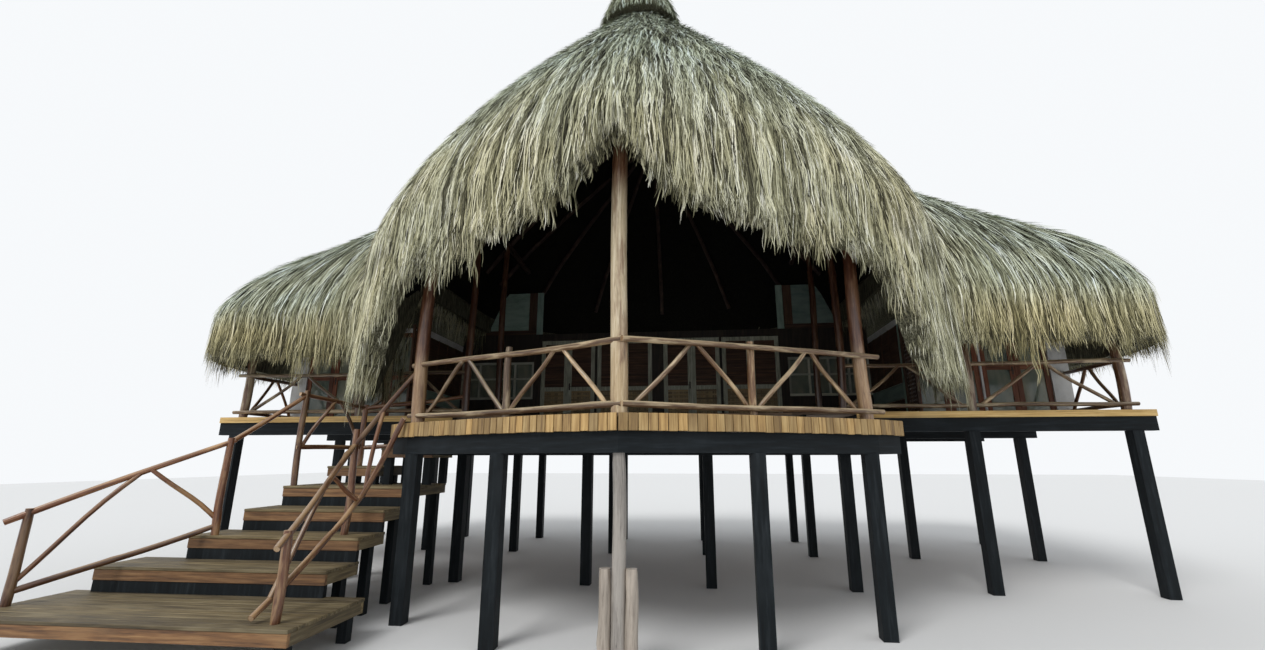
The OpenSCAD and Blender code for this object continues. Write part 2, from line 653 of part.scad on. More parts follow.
module stair_left_railing() {
    veranda = [-side_post_x, wing_line_y, floor_z + 390];
    deck_side = [-prow_end_x - fascia_t - 60, deck_edge_y - fascia_t - rail_d / 2 - 8, level_z(6) + 135];
    foot = post_head(left_foot_post, 60);
    low = post_head(left_low_post, 60);
    mid = post_head(left_mid_post, 80);
    top = post_head(left_top_post, 60);
    kick_a = post_spot(left_mid_post, 630);
    kick_b = post_spot(left_top_post, 330);
    color("firebrick") difference() {
        union() {
            for (p = [left_foot_post, left_low_post, left_mid_post, left_top_post]) stair_post(p);
            log_between(along(foot, low, -0.1), along(foot, low, 1.03), rail_d);
            log_between(low, mid, rail_d);
            log_between(along(mid, top, -0.1), top, rail_d);
            log_between(along(kick_a, kick_b, -0.05), kick_b, rail_d);
            log_between(kick_a + [0, 60, 30], along(mid, top, 0.46), brace_d);
            log_between(kick_b + [0, -60, 30], along(mid, top, 0.54), brace_d);
            log_between(top, veranda, rail_d);
            log_between(kick_b, deck_side, rail_d);
            log_between(post_spot(left_foot_post, 150), post_spot(left_low_post, 130), rail_d);
            log_between(post_spot(left_foot_post, 230), along(foot, low, 0.5), brace_d);
            log_between(post_spot(left_low_post, 200), along(foot, low, 0.56), brace_d);
        }
        translate([-side_post_x, wing_line_y, floor_z]) cylinder(h = 2 * rail_h, d = side_post_d + 2 * seat);
    }
}

// Walls: a box between two corners of the plan, standing on the main floor
module wall(x0, x1, y0, y1, z0 = 0, z1 = wall_h) {
    translate([x0, y0, floor_z + seat + z0]) cube([x1 - x0, y1 - y0, z1 - z0]);
}

// Louvred doors in the hall's front wall
pair_w = 2 * leaf_w + 3 * leaf_gap;
group_w = 2 * pair_w + mullion_w;
function leaf_x(i) = pier_w / 2 + floor(i / 2) * (pair_w + mullion_w) + leaf_gap + (i % 2) * (leaf_w + leaf_gap);
door_z = floor_z + seat + leaf_gap;
head_z = leaf_h + 2 * leaf_gap;
jamb_x = pier_w / 2 + group_w;
side_win_z0 = 760;
side_win_z1 = 1700;
module hall_front_wall() {
    y0 = hall_front_y;
    y1 = hall_front_y + wall_t;
    color("dimgray") {
        wall(-pier_w / 2, pier_w / 2, y0, y1, 0, head_z);
        wall(-jamb_x, jamb_x, y0, y1, head_z);
        both_sides() {
            wall(pier_w / 2 + pair_w, pier_w / 2 + pair_w + mullion_w, y0, y1, 0, head_z);
            wall(jamb_x, room_side_x - seat, y0, y1, 0, side_win_z0);
            wall(jamb_x, room_side_x - seat, y0, y1, side_win_z1);
            wall(jamb_x, jamb_x + 200, y0, y1, side_win_z0, side_win_z1);
        }
    }
}

module hall_back_wall() {
    color("ivory") wall(-room_side_x + seat, room_side_x - seat, back_y - wall_t, back_y);
}

module hall_windows() {
    color("lightblue") both_sides() wall(jamb_x + 200 + seat, room_side_x - 2 * seat, hall_front_y + wall_t / 2, hall_front_y + wall_t / 2 + glass_t, side_win_z0 + seat, side_win_z1 - seat);
}

// The barrel of a leaf's hinges, which stands beside the jamb and turns with the leaf
module hinge_barrel(h) {
    cylinder(h = h, r = leaf_gap - seat, $fn = 12);
}

// Louvred leaf i of the right-hand group: an even one hangs on its left edge, an odd one on its right edge.
// A frame with a mid rail, a louvred panel above it and a woven panel below
mid_rail_h = 1010;
panel_t = 16;
module louvred_leaf(i) {
    color("gainsboro") translate([leaf_x(i), hall_front_y + (wall_t - leaf_t) / 2, door_z]) {
        difference() {
            cube([leaf_w, leaf_t, leaf_h]);
            for (z = [[stile_w * 1.4, mid_rail_h - stile_w], [mid_rail_h, leaf_h - stile_w]], y = [-panel_t, leaf_t - (leaf_t - panel_t) / 2])
                translate([stile_w, y, z[0]]) cube([leaf_w - 2 * stile_w, (leaf_t - panel_t) / 2 + panel_t, z[1] - z[0]]);
        }
        translate([i % 2 == 0 ? 0 : leaf_w, 0, 0]) hinge_barrel(leaf_h);
    }
}

module hall_door_1() { mirror([1, 0, 0]) louvred_leaf(3); }
module hall_door_2() { mirror([1, 0, 0]) louvred_leaf(2); }
module hall_door_3() { mirror([1, 0, 0]) louvred_leaf(1); }
module hall_door_4() { mirror([1, 0, 0]) louvred_leaf(0); }
module hall_door_5() { louvred_leaf(0); }
module hall_door_6() { louvred_leaf(1); }
module hall_door_7() { louvred_leaf(2); }
module hall_door_8() { louvred_leaf(3); }

// The wing rooms: a glazed front, a side wall beside the hall, an end wall and a back wall
room_end_x = wing_end_x - 230;
glass_group_x0 = room_side_x + wall_t + 40;
door_x0 = glass_group_x0 + 2 * (glass_leaf_w + leaf_gap) + 40;
door_x1 = door_x0 + 2 * glass_leaf_w + 3 * leaf_gap;
glass_head = glass_leaf_h + 2 * leaf_gap;
module right_room_walls() {
    f0 = room_front_y;
    f1 = room_front_y + wall_t;
    color("ivory") {
        wall(room_side_x + seat, room_side_x + seat + wall_t, f1, back_y, 0, room_wall_h);
        wall(room_side_x + seat, glass_group_x0, f0, f1, 0, room_wall_h);
        wall(glass_group_x0, room_end_x, f0, f1, glass_head, room_wall_h);
        wall(door_x0 - 40, door_x0, f0, f1, 0, glass_head);
        wall(door_x1, room_end_x, f0, f1, 0, glass_head);
        wall(room_end_x - wall_t, room_end_x, f1, back_y, 0, room_wall_h);
        wall(room_side_x + wall_t, room_end_x - wall_t, back_y - wall_t, back_y, 0, room_wall_h);
    }
}

module left_room_walls() {
    mirror([1, 0, 0]) right_room_walls();
}

module right_room_windows() {
    color("lightblue") wall(glass_group_x0 + seat, door_x0 - 40 - seat, room_front_y + 40, room_front_y + 40 + glass_t, 0, glass_head - seat);
}

module left_room_windows() {
    mirror([1, 0, 0]) right_room_windows();
}

// A glazed leaf: a timber frame round two panes, hung on its left or right edge
module glazed_leaf(x, hung_left) {
    mid = 1000;
    color("firebrick") translate([x, room_front_y + (wall_t - leaf_t) / 2, door_z]) {
        difference() {
            cube([glass_leaf_w, leaf_t, glass_leaf_h]);
            for (z = [[stile_w, mid - stile_w / 2], [mid + stile_w / 2, glass_leaf_h - stile_w]]) {
                translate([stile_w, -1, z[0]]) cube([glass_leaf_w - 2 * stile_w, leaf_t / 2 + 1 - glass_t / 2, z[1] - z[0]]);
                translate([stile_w, leaf_t / 2 + glass_t / 2, z[0]]) cube([glass_leaf_w - 2 * stile_w, leaf_t, z[1] - z[0]]);
            }
        }
        translate([hung_left ? 0 : glass_leaf_w, 0, 0]) hinge_barrel(glass_leaf_h);
    }
}

module right_room_door_inner() { glazed_leaf(door_x0 + leaf_gap, true); }
module right_room_door_outer() { glazed_leaf(door_x0 + 2 * leaf_gap + glass_leaf_w, false); }
module left_room_door_inner() { mirror([1, 0, 0]) right_room_door_inner(); }
module left_room_door_outer() { mirror([1, 0, 0]) right_room_door_outer(); }

main_thatch();
peak_cap();
left_wing_thatch();
right_wing_thatch();
main_roof_frame();
left_wing_roof_frame();
right_wing_roof_frame();
centre_post();
veranda_posts();
wing_posts();
prow_deck();
prow_fascia();
main_floor();
left_wing_deck();
right_wing_deck();
deck_fascias();
prow_beams();
floor_beams();
hall_stilts();
wing_stilts();
centre_stilt();
prow_railing_left();
prow_railing_right();
left_wing_railing();
right_wing_railing();
left_end_railing();
right_end_railing();
stair_landing();
lower_steps();
upper_landing();
upper_steps();
stair_stilts();
stair_right_railing();
stair_left_railing();
hall_front_wall();
hall_back_wall();
left_room_walls();
right_room_walls();
hall_windows();
left_room_windows();
right_room_windows();
hall_door_1();
hall_door_2();
hall_door_3();
hall_door_4();
hall_door_5();
hall_door_6();
hall_door_7();
hall_door_8();
left_room_door_outer();
left_room_door_inner();
right_room_door_inner();
right_room_door_outer();
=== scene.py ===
# %% [markdown]
# # A thatched stilt house
# The house has a prow-shaped veranda under a tall bell of thatch, and two lower wings beside it.
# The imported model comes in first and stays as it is. Every size and place below is read from it or agrees
# with it.

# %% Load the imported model
import math
import bpy
import bmesh
import numpy as np
from collections import namedtuple
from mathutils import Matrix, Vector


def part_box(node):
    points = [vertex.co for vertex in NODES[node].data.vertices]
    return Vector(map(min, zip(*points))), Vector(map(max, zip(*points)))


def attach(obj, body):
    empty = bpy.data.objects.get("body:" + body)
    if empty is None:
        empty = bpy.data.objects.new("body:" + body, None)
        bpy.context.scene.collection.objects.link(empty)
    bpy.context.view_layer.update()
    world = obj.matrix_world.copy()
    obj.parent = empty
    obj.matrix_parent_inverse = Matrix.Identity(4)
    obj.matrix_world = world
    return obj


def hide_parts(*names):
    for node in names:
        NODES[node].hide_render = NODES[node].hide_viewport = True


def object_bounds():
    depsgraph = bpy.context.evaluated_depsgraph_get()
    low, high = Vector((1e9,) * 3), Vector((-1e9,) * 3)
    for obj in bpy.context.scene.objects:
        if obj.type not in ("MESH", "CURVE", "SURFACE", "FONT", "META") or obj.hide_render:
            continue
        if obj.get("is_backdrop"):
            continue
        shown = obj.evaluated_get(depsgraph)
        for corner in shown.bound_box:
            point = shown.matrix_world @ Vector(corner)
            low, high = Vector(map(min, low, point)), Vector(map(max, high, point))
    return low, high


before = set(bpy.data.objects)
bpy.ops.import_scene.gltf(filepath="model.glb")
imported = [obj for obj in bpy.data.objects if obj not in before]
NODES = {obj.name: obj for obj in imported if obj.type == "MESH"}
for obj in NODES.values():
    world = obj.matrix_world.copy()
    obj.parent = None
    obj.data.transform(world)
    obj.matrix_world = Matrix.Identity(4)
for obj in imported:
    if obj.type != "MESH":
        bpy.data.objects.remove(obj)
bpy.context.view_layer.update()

# %% [markdown]
# ## Camera
# The photograph was taken from the ground in front of the prow with a wide lens that looks up at the roof.
# The lens, place and turn come from lining up posts, rails and the deck's edge with the photograph.

# %% Camera
def put_in_scene(name, data):
    """Gives a camera, a lamp or a mesh its object."""
    made = bpy.data.objects.new(name, data)
    bpy.context.scene.collection.objects.link(made)
    return made


camera_data = bpy.data.cameras.new("camera")
camera_data.lens = 15.26
camera_data.sensor_width = 36
camera_data.clip_end = 300
camera = put_in_scene("camera", camera_data)
camera.location = (0.816, -6.175, 2.138)
camera.rotation_euler = (math.radians(104.06), 0, math.radians(6.12))
bpy.context.scene.camera = camera
bpy.context.scene.view_settings.view_transform = "Standard"
print("lens in mm:", round(camera_data.lens, 2), "height of the camera:", round(camera.location.z, 3))

# %% [markdown]
# ## Tools for finishes
# A finish is a node tree. Writing its maths as plain sums and products keeps it readable, so a small class
# wraps a socket and turns each operator into a Math node. Any other node comes from one method.

# %% A socket that takes part in sums
class Wire:
    """The output of a node. Sums and products of wires and numbers become Math nodes."""

    def __init__(self, finish, socket):
        self.finish = finish
        self.socket = socket

    def maths(self, operation, first, second=0.0):
        return self.finish.node("ShaderNodeMath", {"operation": operation}, [first, second])

    def __add__(self, other):
        return self.maths("ADD", self, other)

    __radd__ = __add__

    def __sub__(self, other):
        return self.maths("SUBTRACT", self, other)

    def __rsub__(self, other):
        return self.maths("SUBTRACT", other, self)

    def __mul__(self, other):
        return self.maths("MULTIPLY", self, other)

    __rmul__ = __mul__

    def above(self, low, high):
        """A mask that is 0 up to low, and rises softly to 1 at high."""
        return self.finish.node("ShaderNodeMapRange", {"interpolation_type": "SMOOTHSTEP"}, [self, low, high])


# %% A finish and its nodes
class Finish:
    """A material with its node tree. Its place is the point in the piece's own coordinates, in metres."""

    def __init__(self, name, roughness=0.7, **plain):
        self.material = bpy.data.materials.new(name)
        self.material.use_nodes = True
        self.tree = self.material.node_tree
        self.shader = self.tree.nodes["Principled BSDF"]
        self.shader.inputs["Roughness"].default_value = roughness
        for socket, value in plain.items():
            self.shader.inputs[socket.replace("_", " ")].default_value = value
        self.place = self.node("ShaderNodeTexCoord", out="Object")

    def node(self, kind, settings=None, values=(), out=0):
        """A node of any kind: its settings first, then the values or wires of its sockets."""
        made = self.tree.nodes.new(kind)
        for key, value in (settings or {}).items():
            if key == "stops":
                self.fill_ramp(made.color_ramp, value)
            else:
                setattr(made, key, value)
        pairs = values.items() if isinstance(values, dict) else enumerate(values)
        for socket, value in pairs:
            if isinstance(value, Wire):
                self.tree.links.new(value.socket, made.inputs[socket])
            else:
                made.inputs[socket].default_value = value
        return Wire(self, made.outputs[out])

    def fill_ramp(self, ramp, stops):
        while len(ramp.elements) < len(stops):
            ramp.elements.new(0.5)
        for element, (place, colour) in zip(ramp.elements, stops):
            element.position = place
            element.color = (*colour, 1)

    def noise(self, scale, detail=4.0, roughness=0.55, warp=0.0, place=None):
        spread = self.node("ShaderNodeMapping", {}, {"Vector": place or self.place, "Scale": scale})
        return self.node("ShaderNodeTexNoise", {}, {"Vector": spread, "Scale": 1.0, "Detail": detail,
                                                    "Roughness": roughness, "Distortion": warp})

    def ramp(self, factor, *stops):
        return self.node("ShaderNodeValToRGB", {"stops": stops}, [factor])

    def mix(self, factor, first, second, blend="MIX"):
        first, second = [(*c, 1) if isinstance(c, tuple) and len(c) == 3 else c for c in (first, second)]
        settings = {"data_type": "RGBA", "blend_type": blend}
        return self.node("ShaderNodeMix", settings, {0: factor, 6: first, 7: second}, out=2)

    def tinted(self, colour, tint):
        return self.mix(1.0, colour, tint, "MULTIPLY")

    def axis(self, letter, place=None):
        return self.node("ShaderNodeSeparateXYZ", {}, [place or self.place], out=letter)

    def attribute(self, name, out):
        return self.node("ShaderNodeAttribute", {"attribute_name": name}, out=out)

    def paint(self, colour, roughness=None, height=None, depth=0.01):
        """Links the finished colour and relief to the shader. A relief is given with its depth in metres."""
        self.tree.links.new(colour.socket, self.shader.inputs["Base Color"])
        if roughness is not None:
            self.tree.links.new(roughness.socket, self.shader.inputs["Roughness"])
        if height is not None:
            bump = self.node("ShaderNodeBump", {}, {"Height": height, "Distance": depth})
            self.tree.links.new(bump.socket, self.shader.inputs["Normal"])
        return self.material


def dress(node, material):
    """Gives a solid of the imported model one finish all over."""
    mesh = NODES[node].data
    mesh.materials.clear()
    mesh.materials.append(material)


# %% [markdown]
# ## Thatch
# The roof is a thick coat of grass laid in courses, with the stems running down the slope. Seen close, it is
# a fur of single stems. A textured shell would look like paint at the ragged hem, so the stems are real
# blades: one blade is modelled, and copies of it are bent along the fall lines of the roof.
#
# The roofs' own forms come first. A "share" says how far a point lies between the ridge (0) and the eaves
# (1), and a bell curve turns it into a height.

# %% The bell of the main roof
DECK = 2.65
SHOULDER, PEAK = 2.6, 8.8
RIDGE_FRONT, RIDGE_BACK = 2.98, 6.98
HALF_WIDTH, BACK_REACH, COAT_DEPTH = 5.11, 4.2, 0.3
RIDGE_SHARE, FRINGE = 0.04, 0.45
BELL_ROUND, BELL_STEEP, EAVE_AHEAD = 0.75, 0.585, 0.125


def bell(share):
    """The height of the slope, from 1 at the ridge to 0 at the eaves."""
    return (1 - np.clip(share, 0, 1) ** BELL_ROUND) ** BELL_STEEP


def bell_reach(height):
    """The share at which the slope has this height."""
    return (1 - np.clip(height, 0, 1) ** (1 / BELL_STEEP)) ** (1 / BELL_ROUND)


def ease(t):
    """Rises softly from 0 to 1."""
    t = np.clip(t, 0, 1)
    return t * t * (3 - 2 * t)


def arch(x):
    """The arched eave over the centre post, above the deck."""
    return 2.15 + 1.4 * np.exp(-x / 0.6)


ARCH_HEIGHT = (arch(0) + FRINGE - SHOULDER) / (PEAK - SHOULDER)
FRONT_REACH = (RIDGE_FRONT + EAVE_AHEAD) / bell_reach(ARCH_HEIGHT) + COAT_DEPTH
print("front reach:", round(float(FRONT_REACH), 3))

# %% The plan and the hem of the main roof
PROW_POWER, PROW_CHANGE, ROUND_POWER = 1.72, 0.22, 2.0


def prow_power(front, share):
    """The plan is nearly round at the ridge and turns into a prow towards the eaves in front."""
    return np.where(front, PROW_POWER - PROW_CHANGE * share, ROUND_POWER)


def rounded(angle, power):
    """A point of a rounded plan: a power of 2 gives a circle, and a lower one a blunt diamond."""
    c, s = np.cos(angle), np.sin(angle)
    return np.sign(c) * np.abs(c) ** (2 / power), np.sign(s) * np.abs(s) ** (2 / power)


def main_hem(y, out_x):
    """The height of the hem above the deck. It comes far down at both sides of the veranda."""
    x = HALF_WIDTH * np.abs(out_x)
    front = arch(x) + (0.65 - arch(x)) * ease((x - 3.45) / 0.85)
    rear = 2.0 + 0.85 * ease((x - 3.0) / 0.4)
    return np.where(y > RIDGE_FRONT + 0.9, rear, front)


print("hem over the centre post:", round(float(main_hem(0, 0)), 2), "at the side:", float(main_hem(0, 0.9)))


# %% Rings of points down the main roof
def hang_down(skin, hem, drops):
    """Rings below the last one, plumb down to the hem."""
    last = skin[-1]
    for drop in drops:
        low = last.copy()
        low[:, 2] += (hem - low[:, 2]) * drop
        skin.append(low)
    return np.array(skin)


def main_skin(count=120, rings=60, depth=0.0):
    """Rings of points down the main roof's right half. A depth gives a surface inside the coat."""
    quarter = np.linspace(0, np.pi / 2, count)
    angle = np.concatenate([quarter - np.pi / 2, np.zeros(count - 2), quarter])
    side = np.linspace(RIDGE_FRONT, RIDGE_BACK, count)[1:-1]
    y = np.concatenate([np.full(count, RIDGE_FRONT), side, np.full(count, RIDGE_BACK)])
    hem = main_hem(y, rounded(angle, prow_power(angle < 0, 1.0))[0])
    last = bell_reach(np.maximum(0, hem + FRINGE - SHOULDER) / (PEAK - SHOULDER))
    skin = []
    for t in np.linspace(0, 1, rings):
        share = RIDGE_SHARE + (last - RIDGE_SHARE) * math.sin(math.pi / 2 * t) * t ** 0.4
        out_x, out_y = rounded(angle, prow_power(angle < 0, share))
        reach = np.where(out_y < 0, FRONT_REACH, BACK_REACH) - depth
        z = DECK + SHOULDER + (PEAK - 1.4 * depth - SHOULDER) * bell(share)
        skin.append(np.stack([(HALF_WIDTH - depth) * share * out_x, y + reach * share * out_y, z], 1))
    return hang_down(skin, DECK + hem, np.linspace(0.1, 1, 8))


MAIN = main_skin()
print("main roof, rings and fall lines:", MAIN.shape[:2])

# %% Rings of points down a wing
WING_START, WING_JOIN_X, WING_TIP_X, WING_EDGE_X = 1.5, 4.0, 7.7, 8.98
WING_RIDGE_Y, WING_FRONT, WING_BACK = 6.3, 3.54, 4.8
WING_SHOULDER, WING_HEM = 2.12, 1.35
WING_ROUND, WING_STEEP, WING_END_POWER = 1.17, 0.68, 2.37


def wing_bell(share):
    return (1 - np.clip(share, 0, 1) ** WING_ROUND) ** WING_STEEP


def wing_ridge(x):
    """The ridge of a wing slopes up towards the main roof."""
    return 4.85 + 1.9 * (WING_TIP_X - x) / (WING_TIP_X - WING_JOIN_X)


def wing_slope(x, share):
    return DECK + WING_SHOULDER + (wing_ridge(x) - WING_SHOULDER) * wing_bell(share)


def wing_skin(count=100, rings=44):
    """Rings of points down the right wing: a straight front and back, and a rounded end."""
    line = np.linspace(WING_START, WING_TIP_X, count)
    turn = rounded(np.linspace(-np.pi / 2, np.pi / 2, 2 * count), WING_END_POWER)
    x = np.concatenate([line, np.full(2 * count, WING_TIP_X), line[::-1]])
    out_x = np.concatenate([np.zeros(count), turn[0], np.zeros(count)])
    out_y = np.concatenate([-np.ones(count), turn[1], np.ones(count)])
    reach = np.where(out_y < 0, WING_FRONT, WING_BACK)
    skin = []
    for k in range(rings):
        share = RIDGE_SHARE + (1 - RIDGE_SHARE) * math.sin(math.pi / 2 * k / (rings - 1))
        past_tip = (WING_EDGE_X - WING_TIP_X) * share * out_x
        skin.append(np.stack([x + past_tip, WING_RIDGE_Y + reach * share * out_y, wing_slope(x, share)], 1))
    return hang_down(skin, DECK + WING_HEM, np.linspace(0.1, 1, 10))


WING = wing_skin()
print("wing, rings and fall lines:", WING.shape[:2])


# %% Which roof lies on top
FIRST_GUESS = 0.8


def main_share(x, y):
    """How far a point of the plan lies between the ridge (0) and the eaves (1), and past them."""
    front = y < RIDGE_FRONT
    past_ridge = np.where(front, RIDGE_FRONT - y, np.maximum(0, y - RIDGE_BACK))
    run = past_ridge / np.where(front, FRONT_REACH, BACK_REACH)
    share = np.full(np.shape(x), FIRST_GUESS)
    for _ in range(3):
        power = prow_power(front, np.minimum(share, 1))
        share = ((np.abs(x) / HALF_WIDTH) ** power + run ** power) ** (1 / power)
    return share


def main_height(p):
    """The main roof's height over points of the plan, and minus one where the roof doesn't reach."""
    share = main_share(p[..., 0], p[..., 1])
    return np.where(share < 1, DECK + SHOULDER + (PEAK - SHOULDER) * bell(share), -1)


def wing_height(p):
    """The wing's height over points of the plan, on its straight stretch."""
    x = np.abs(p[..., 0])
    reach = np.where(p[..., 1] < WING_RIDGE_Y, WING_FRONT, WING_BACK)
    share = np.abs(p[..., 1] - WING_RIDGE_Y) / reach
    inside = (share < 1) & (x > WING_START) & (x < WING_TIP_X)
    return np.where(inside, wing_slope(x, share), -1)


# %% One blade of grass
def clear_selection():
    if bpy.context.object and bpy.context.object.mode != "OBJECT":
        bpy.ops.object.mode_set(mode="OBJECT")
    bpy.ops.object.select_all(action="DESELECT")


def pick(mesh, test):
    """Select, in edit mode, the vertices whose place passes the test."""
    bpy.ops.mesh.select_all(action="DESELECT")
    shape = bmesh.from_edit_mesh(mesh)
    for v in shape.verts:
        v.select = test(v.co)
    shape.select_flush_mode()
    bmesh.update_edit_mesh(mesh)


def model_blade(cuts):
    """A flat strip with cuts across it, narrow at its root, widest below the middle, and pointed."""
    clear_selection()
    bpy.ops.mesh.primitive_plane_add(size=1, location=(0, 0, 0))
    blade = bpy.context.object
    bpy.ops.object.mode_set(mode="EDIT")
    bpy.ops.mesh.select_mode(type="EDGE")
    bpy.ops.mesh.select_all(action="DESELECT")
    shape = bmesh.from_edit_mesh(blade.data)
    for e in shape.edges:
        if abs(e.verts[0].co.y - e.verts[1].co.y) > 0.5:
            e.select = True
    bmesh.update_edit_mesh(blade.data)
    bpy.ops.mesh.subdivide(number_cuts=cuts)
    bpy.ops.mesh.select_mode(type="VERT")
    pick(blade.data, lambda co: co.y > 0.45)
    bpy.ops.transform.resize(value=(0.12, 1, 1))
    pick(blade.data, lambda co: 0.45 > co.y > 0.1)
    bpy.ops.transform.resize(value=(0.75, 1, 1))
    pick(blade.data, lambda co: co.y < -0.45)
    bpy.ops.transform.resize(value=(0.7, 1, 1))
    bpy.ops.object.mode_set(mode="OBJECT")
    across = np.array([v.co.x for v in blade.data.vertices])
    along = np.array([v.co.y + 0.5 for v in blade.data.vertices])
    faces = np.array([list(p.vertices) for p in blade.data.polygons])
    bpy.data.objects.remove(blade)
    return across, along, faces


SHORT_BLADE, LONG_BLADE = model_blade(2), model_blade(4)
print("blade faces:", len(SHORT_BLADE[2]), len(LONG_BLADE[2]))

# %% [markdown]
# ## The colour of grass
# The stems are bluish grey high on the roofs and straw-coloured lower down, and what makes the thatch read as
# grass is the shadow between the stems. Part of that shadow is painted: every blade carries an attribute with
# the shade of its lock and the distance from its root, and the finish turns these two numbers into colour,
# which is dark at the roots and in the darkest locks as painted shadow.

# %% Thatch finishes
# The lowest stops paint some locks near black, as painted shadow in the gaps between the pale locks.
STEM_COLOURS = (
    (0.16, (0.04, 0.037, 0.022)),
    (0.34, (0.20, 0.193, 0.112)),
    (0.52, (0.50, 0.485, 0.31)),
    (0.74, (0.79, 0.775, 0.57)),
    (0.93, (0.98, 0.97, 0.85)),
)
# The coat's colours are dark, as painted shadow between the stems.
SHADOW_COAT_COLOURS = (
    (0.35, (0.02, 0.018, 0.012)),
    (0.52, (0.13, 0.125, 0.08)),
    (0.72, (0.42, 0.41, 0.29)),
)
ROOT_SHADOW = (0.03, 0.028, 0.018)
SHADED, STRAW = (0.35, 0.34, 0.30), (1.0, 0.88, 0.66)
LOW_WING, HIGH_WING, HIGH_ROOF = (1.0, 0.94, 0.82), (0.90, 1.0, 1.14), (0.84, 1.0, 1.16)


def fine_stems(f):
    return f.noise((60, 60, 5), detail=5, roughness=0.7)


def stem_finish():
    """Loose stems: each with the shade of its lock, with painted shadow at its root, and bluish high up."""
    f = Finish("thatch_stems", roughness=0.85, Specular_IOR_Level=0.25)
    patches = f.noise((0.9, 0.9, 0.6), detail=3)
    fine = fine_stems(f)
    stem = f.attribute("stem", "Color")
    shade = f.node("ShaderNodeSeparateColor", {}, [stem], out=0)
    along = f.node("ShaderNodeSeparateColor", {}, [stem], out=1)
    beside, height = f.axis("X"), f.axis("Z")
    wings = beside.maths("ABSOLUTE", beside).above(5.0, 6.0)
    # Painted light and shade on the wings: their low stems are made darker as shade, and their higher stems
    # lighter as light.
    shade = shade + wings * (height.above(3.9, 4.9) * 0.16 - 0.08)
    colour = f.ramp(shade, *STEM_COLOURS)
    colour = f.mix(along.above(0.0, 0.4) * 0.5 + 0.5, ROOT_SHADOW, colour)
    colour = f.mix(fine.above(0.36, 0.56) * 0.45 + 0.55, f.tinted(colour, SHADED), colour)
    colour = f.mix(patches.above(0.45, 0.62) * 0.3, colour, f.tinted(colour, STRAW))
    on_wing = f.mix(height.above(4.3, 5.1), f.tinted(colour, LOW_WING), f.tinted(colour, HIGH_WING))
    colour = f.mix(wings, colour, on_wing)
    high = height.above(5.6, 8.5) * (1.0 - wings)
    return f.paint(f.mix(high * 0.75, colour, f.tinted(colour, HIGH_ROOF)))


def coat_finish():
    """The solid coat under the stems, which shows only between them, painted dark as the shadow there."""
    f = Finish("thatch_coat_painted_shadow", roughness=0.85, Specular_IOR_Level=0.25)
    fine = fine_stems(f)
    return f.paint(f.ramp(fine, *SHADOW_COAT_COLOURS), height=fine, depth=0.03)


STEMS, COAT = stem_finish(), coat_finish()
COATS = ("main_thatch", "left_wing_thatch", "right_wing_thatch", "peak_cap")
for node in COATS:
    dress(node, COAT)
print("solids with the coat's finish:", len(COATS))

# %% [markdown]
# ## Blades along the fall lines
# Rain and gravity comb grass down the slope, so a blade follows the line that water would take. On the wings
# that is a line of the skin itself. In front of the main roof the grass falls plumb instead, whatever the
# plan does, so there the line is stepped down the slope bit by bit. Grass also hangs together in locks: the
# stems of one lock share their shade and their waves, and that is what makes a roof look thatched.

# %% Places on a skin
random = np.random.default_rng(7)


def lengths_down(skin):
    """How far each point of a skin lies from the ridge, along its fall line."""
    steps = np.linalg.norm(np.diff(skin, axis=0), axis=2)
    return np.concatenate([np.zeros((1, skin.shape[1])), np.cumsum(steps, 0)])


def lengths_round(ring):
    """How far each point of a ring lies from its start."""
    return np.concatenate([[0], np.cumsum(np.linalg.norm(np.diff(ring, axis=0), axis=1))])


def at(skin, run, column, distance):
    """Points of the skin at a fall line (a fractional column) and a distance down it.

    Past the hem they hang plumb."""
    left = np.clip(np.floor(column).astype(int), 0, skin.shape[1] - 2)
    part = np.clip(column - left, 0, 1)
    points = []
    for c in (left, left + 1):
        lines = run[:, c]
        row = np.clip((lines <= distance[None]).sum(0) - 1, 0, skin.shape[0] - 2)
        span = run[row + 1, c] - run[row, c]
        t = np.clip((distance - run[row, c]) / np.maximum(span, 1e-6), 0, 1)
        p = skin[row, c] + (skin[row + 1, c] - skin[row, c]) * t[:, None]
        p[:, 2] -= np.maximum(0, distance - run[-1, c])
        points.append(p)
    return points[0] + (points[1] - points[0]) * part[:, None]


def scatter(skin, run, count, wanted):
    """Random columns and distances, even over the surface, where the start point is wanted."""
    width = np.linalg.norm(skin[:, 1:] - skin[:, :-1], axis=2)
    area = (width[1:] + width[:-1]) / 2 * (run[1:, 1:] - run[:-1, 1:])
    middle = (skin[1:, 1:] + skin[:-1, :-1]) / 2
    weight = (area * wanted(middle)).ravel()
    cell = random.choice(len(weight), count, p=weight / weight.sum())
    row, column = np.unravel_index(cell, area.shape)
    down = run[row, column] + (run[row + 1, column] - run[row, column]) * random.random(count)
    return column + random.random(count), down


# %% Locks of grass
COURSES, LOCKS, COURSE_LENGTH = 40, 4000, 0.45
LOCK_RANDOM = np.random.default_rng(3).random((COURSES, LOCKS))
print("courses of locks:", COURSES, "random numbers for them:", LOCK_RANDOM.size)


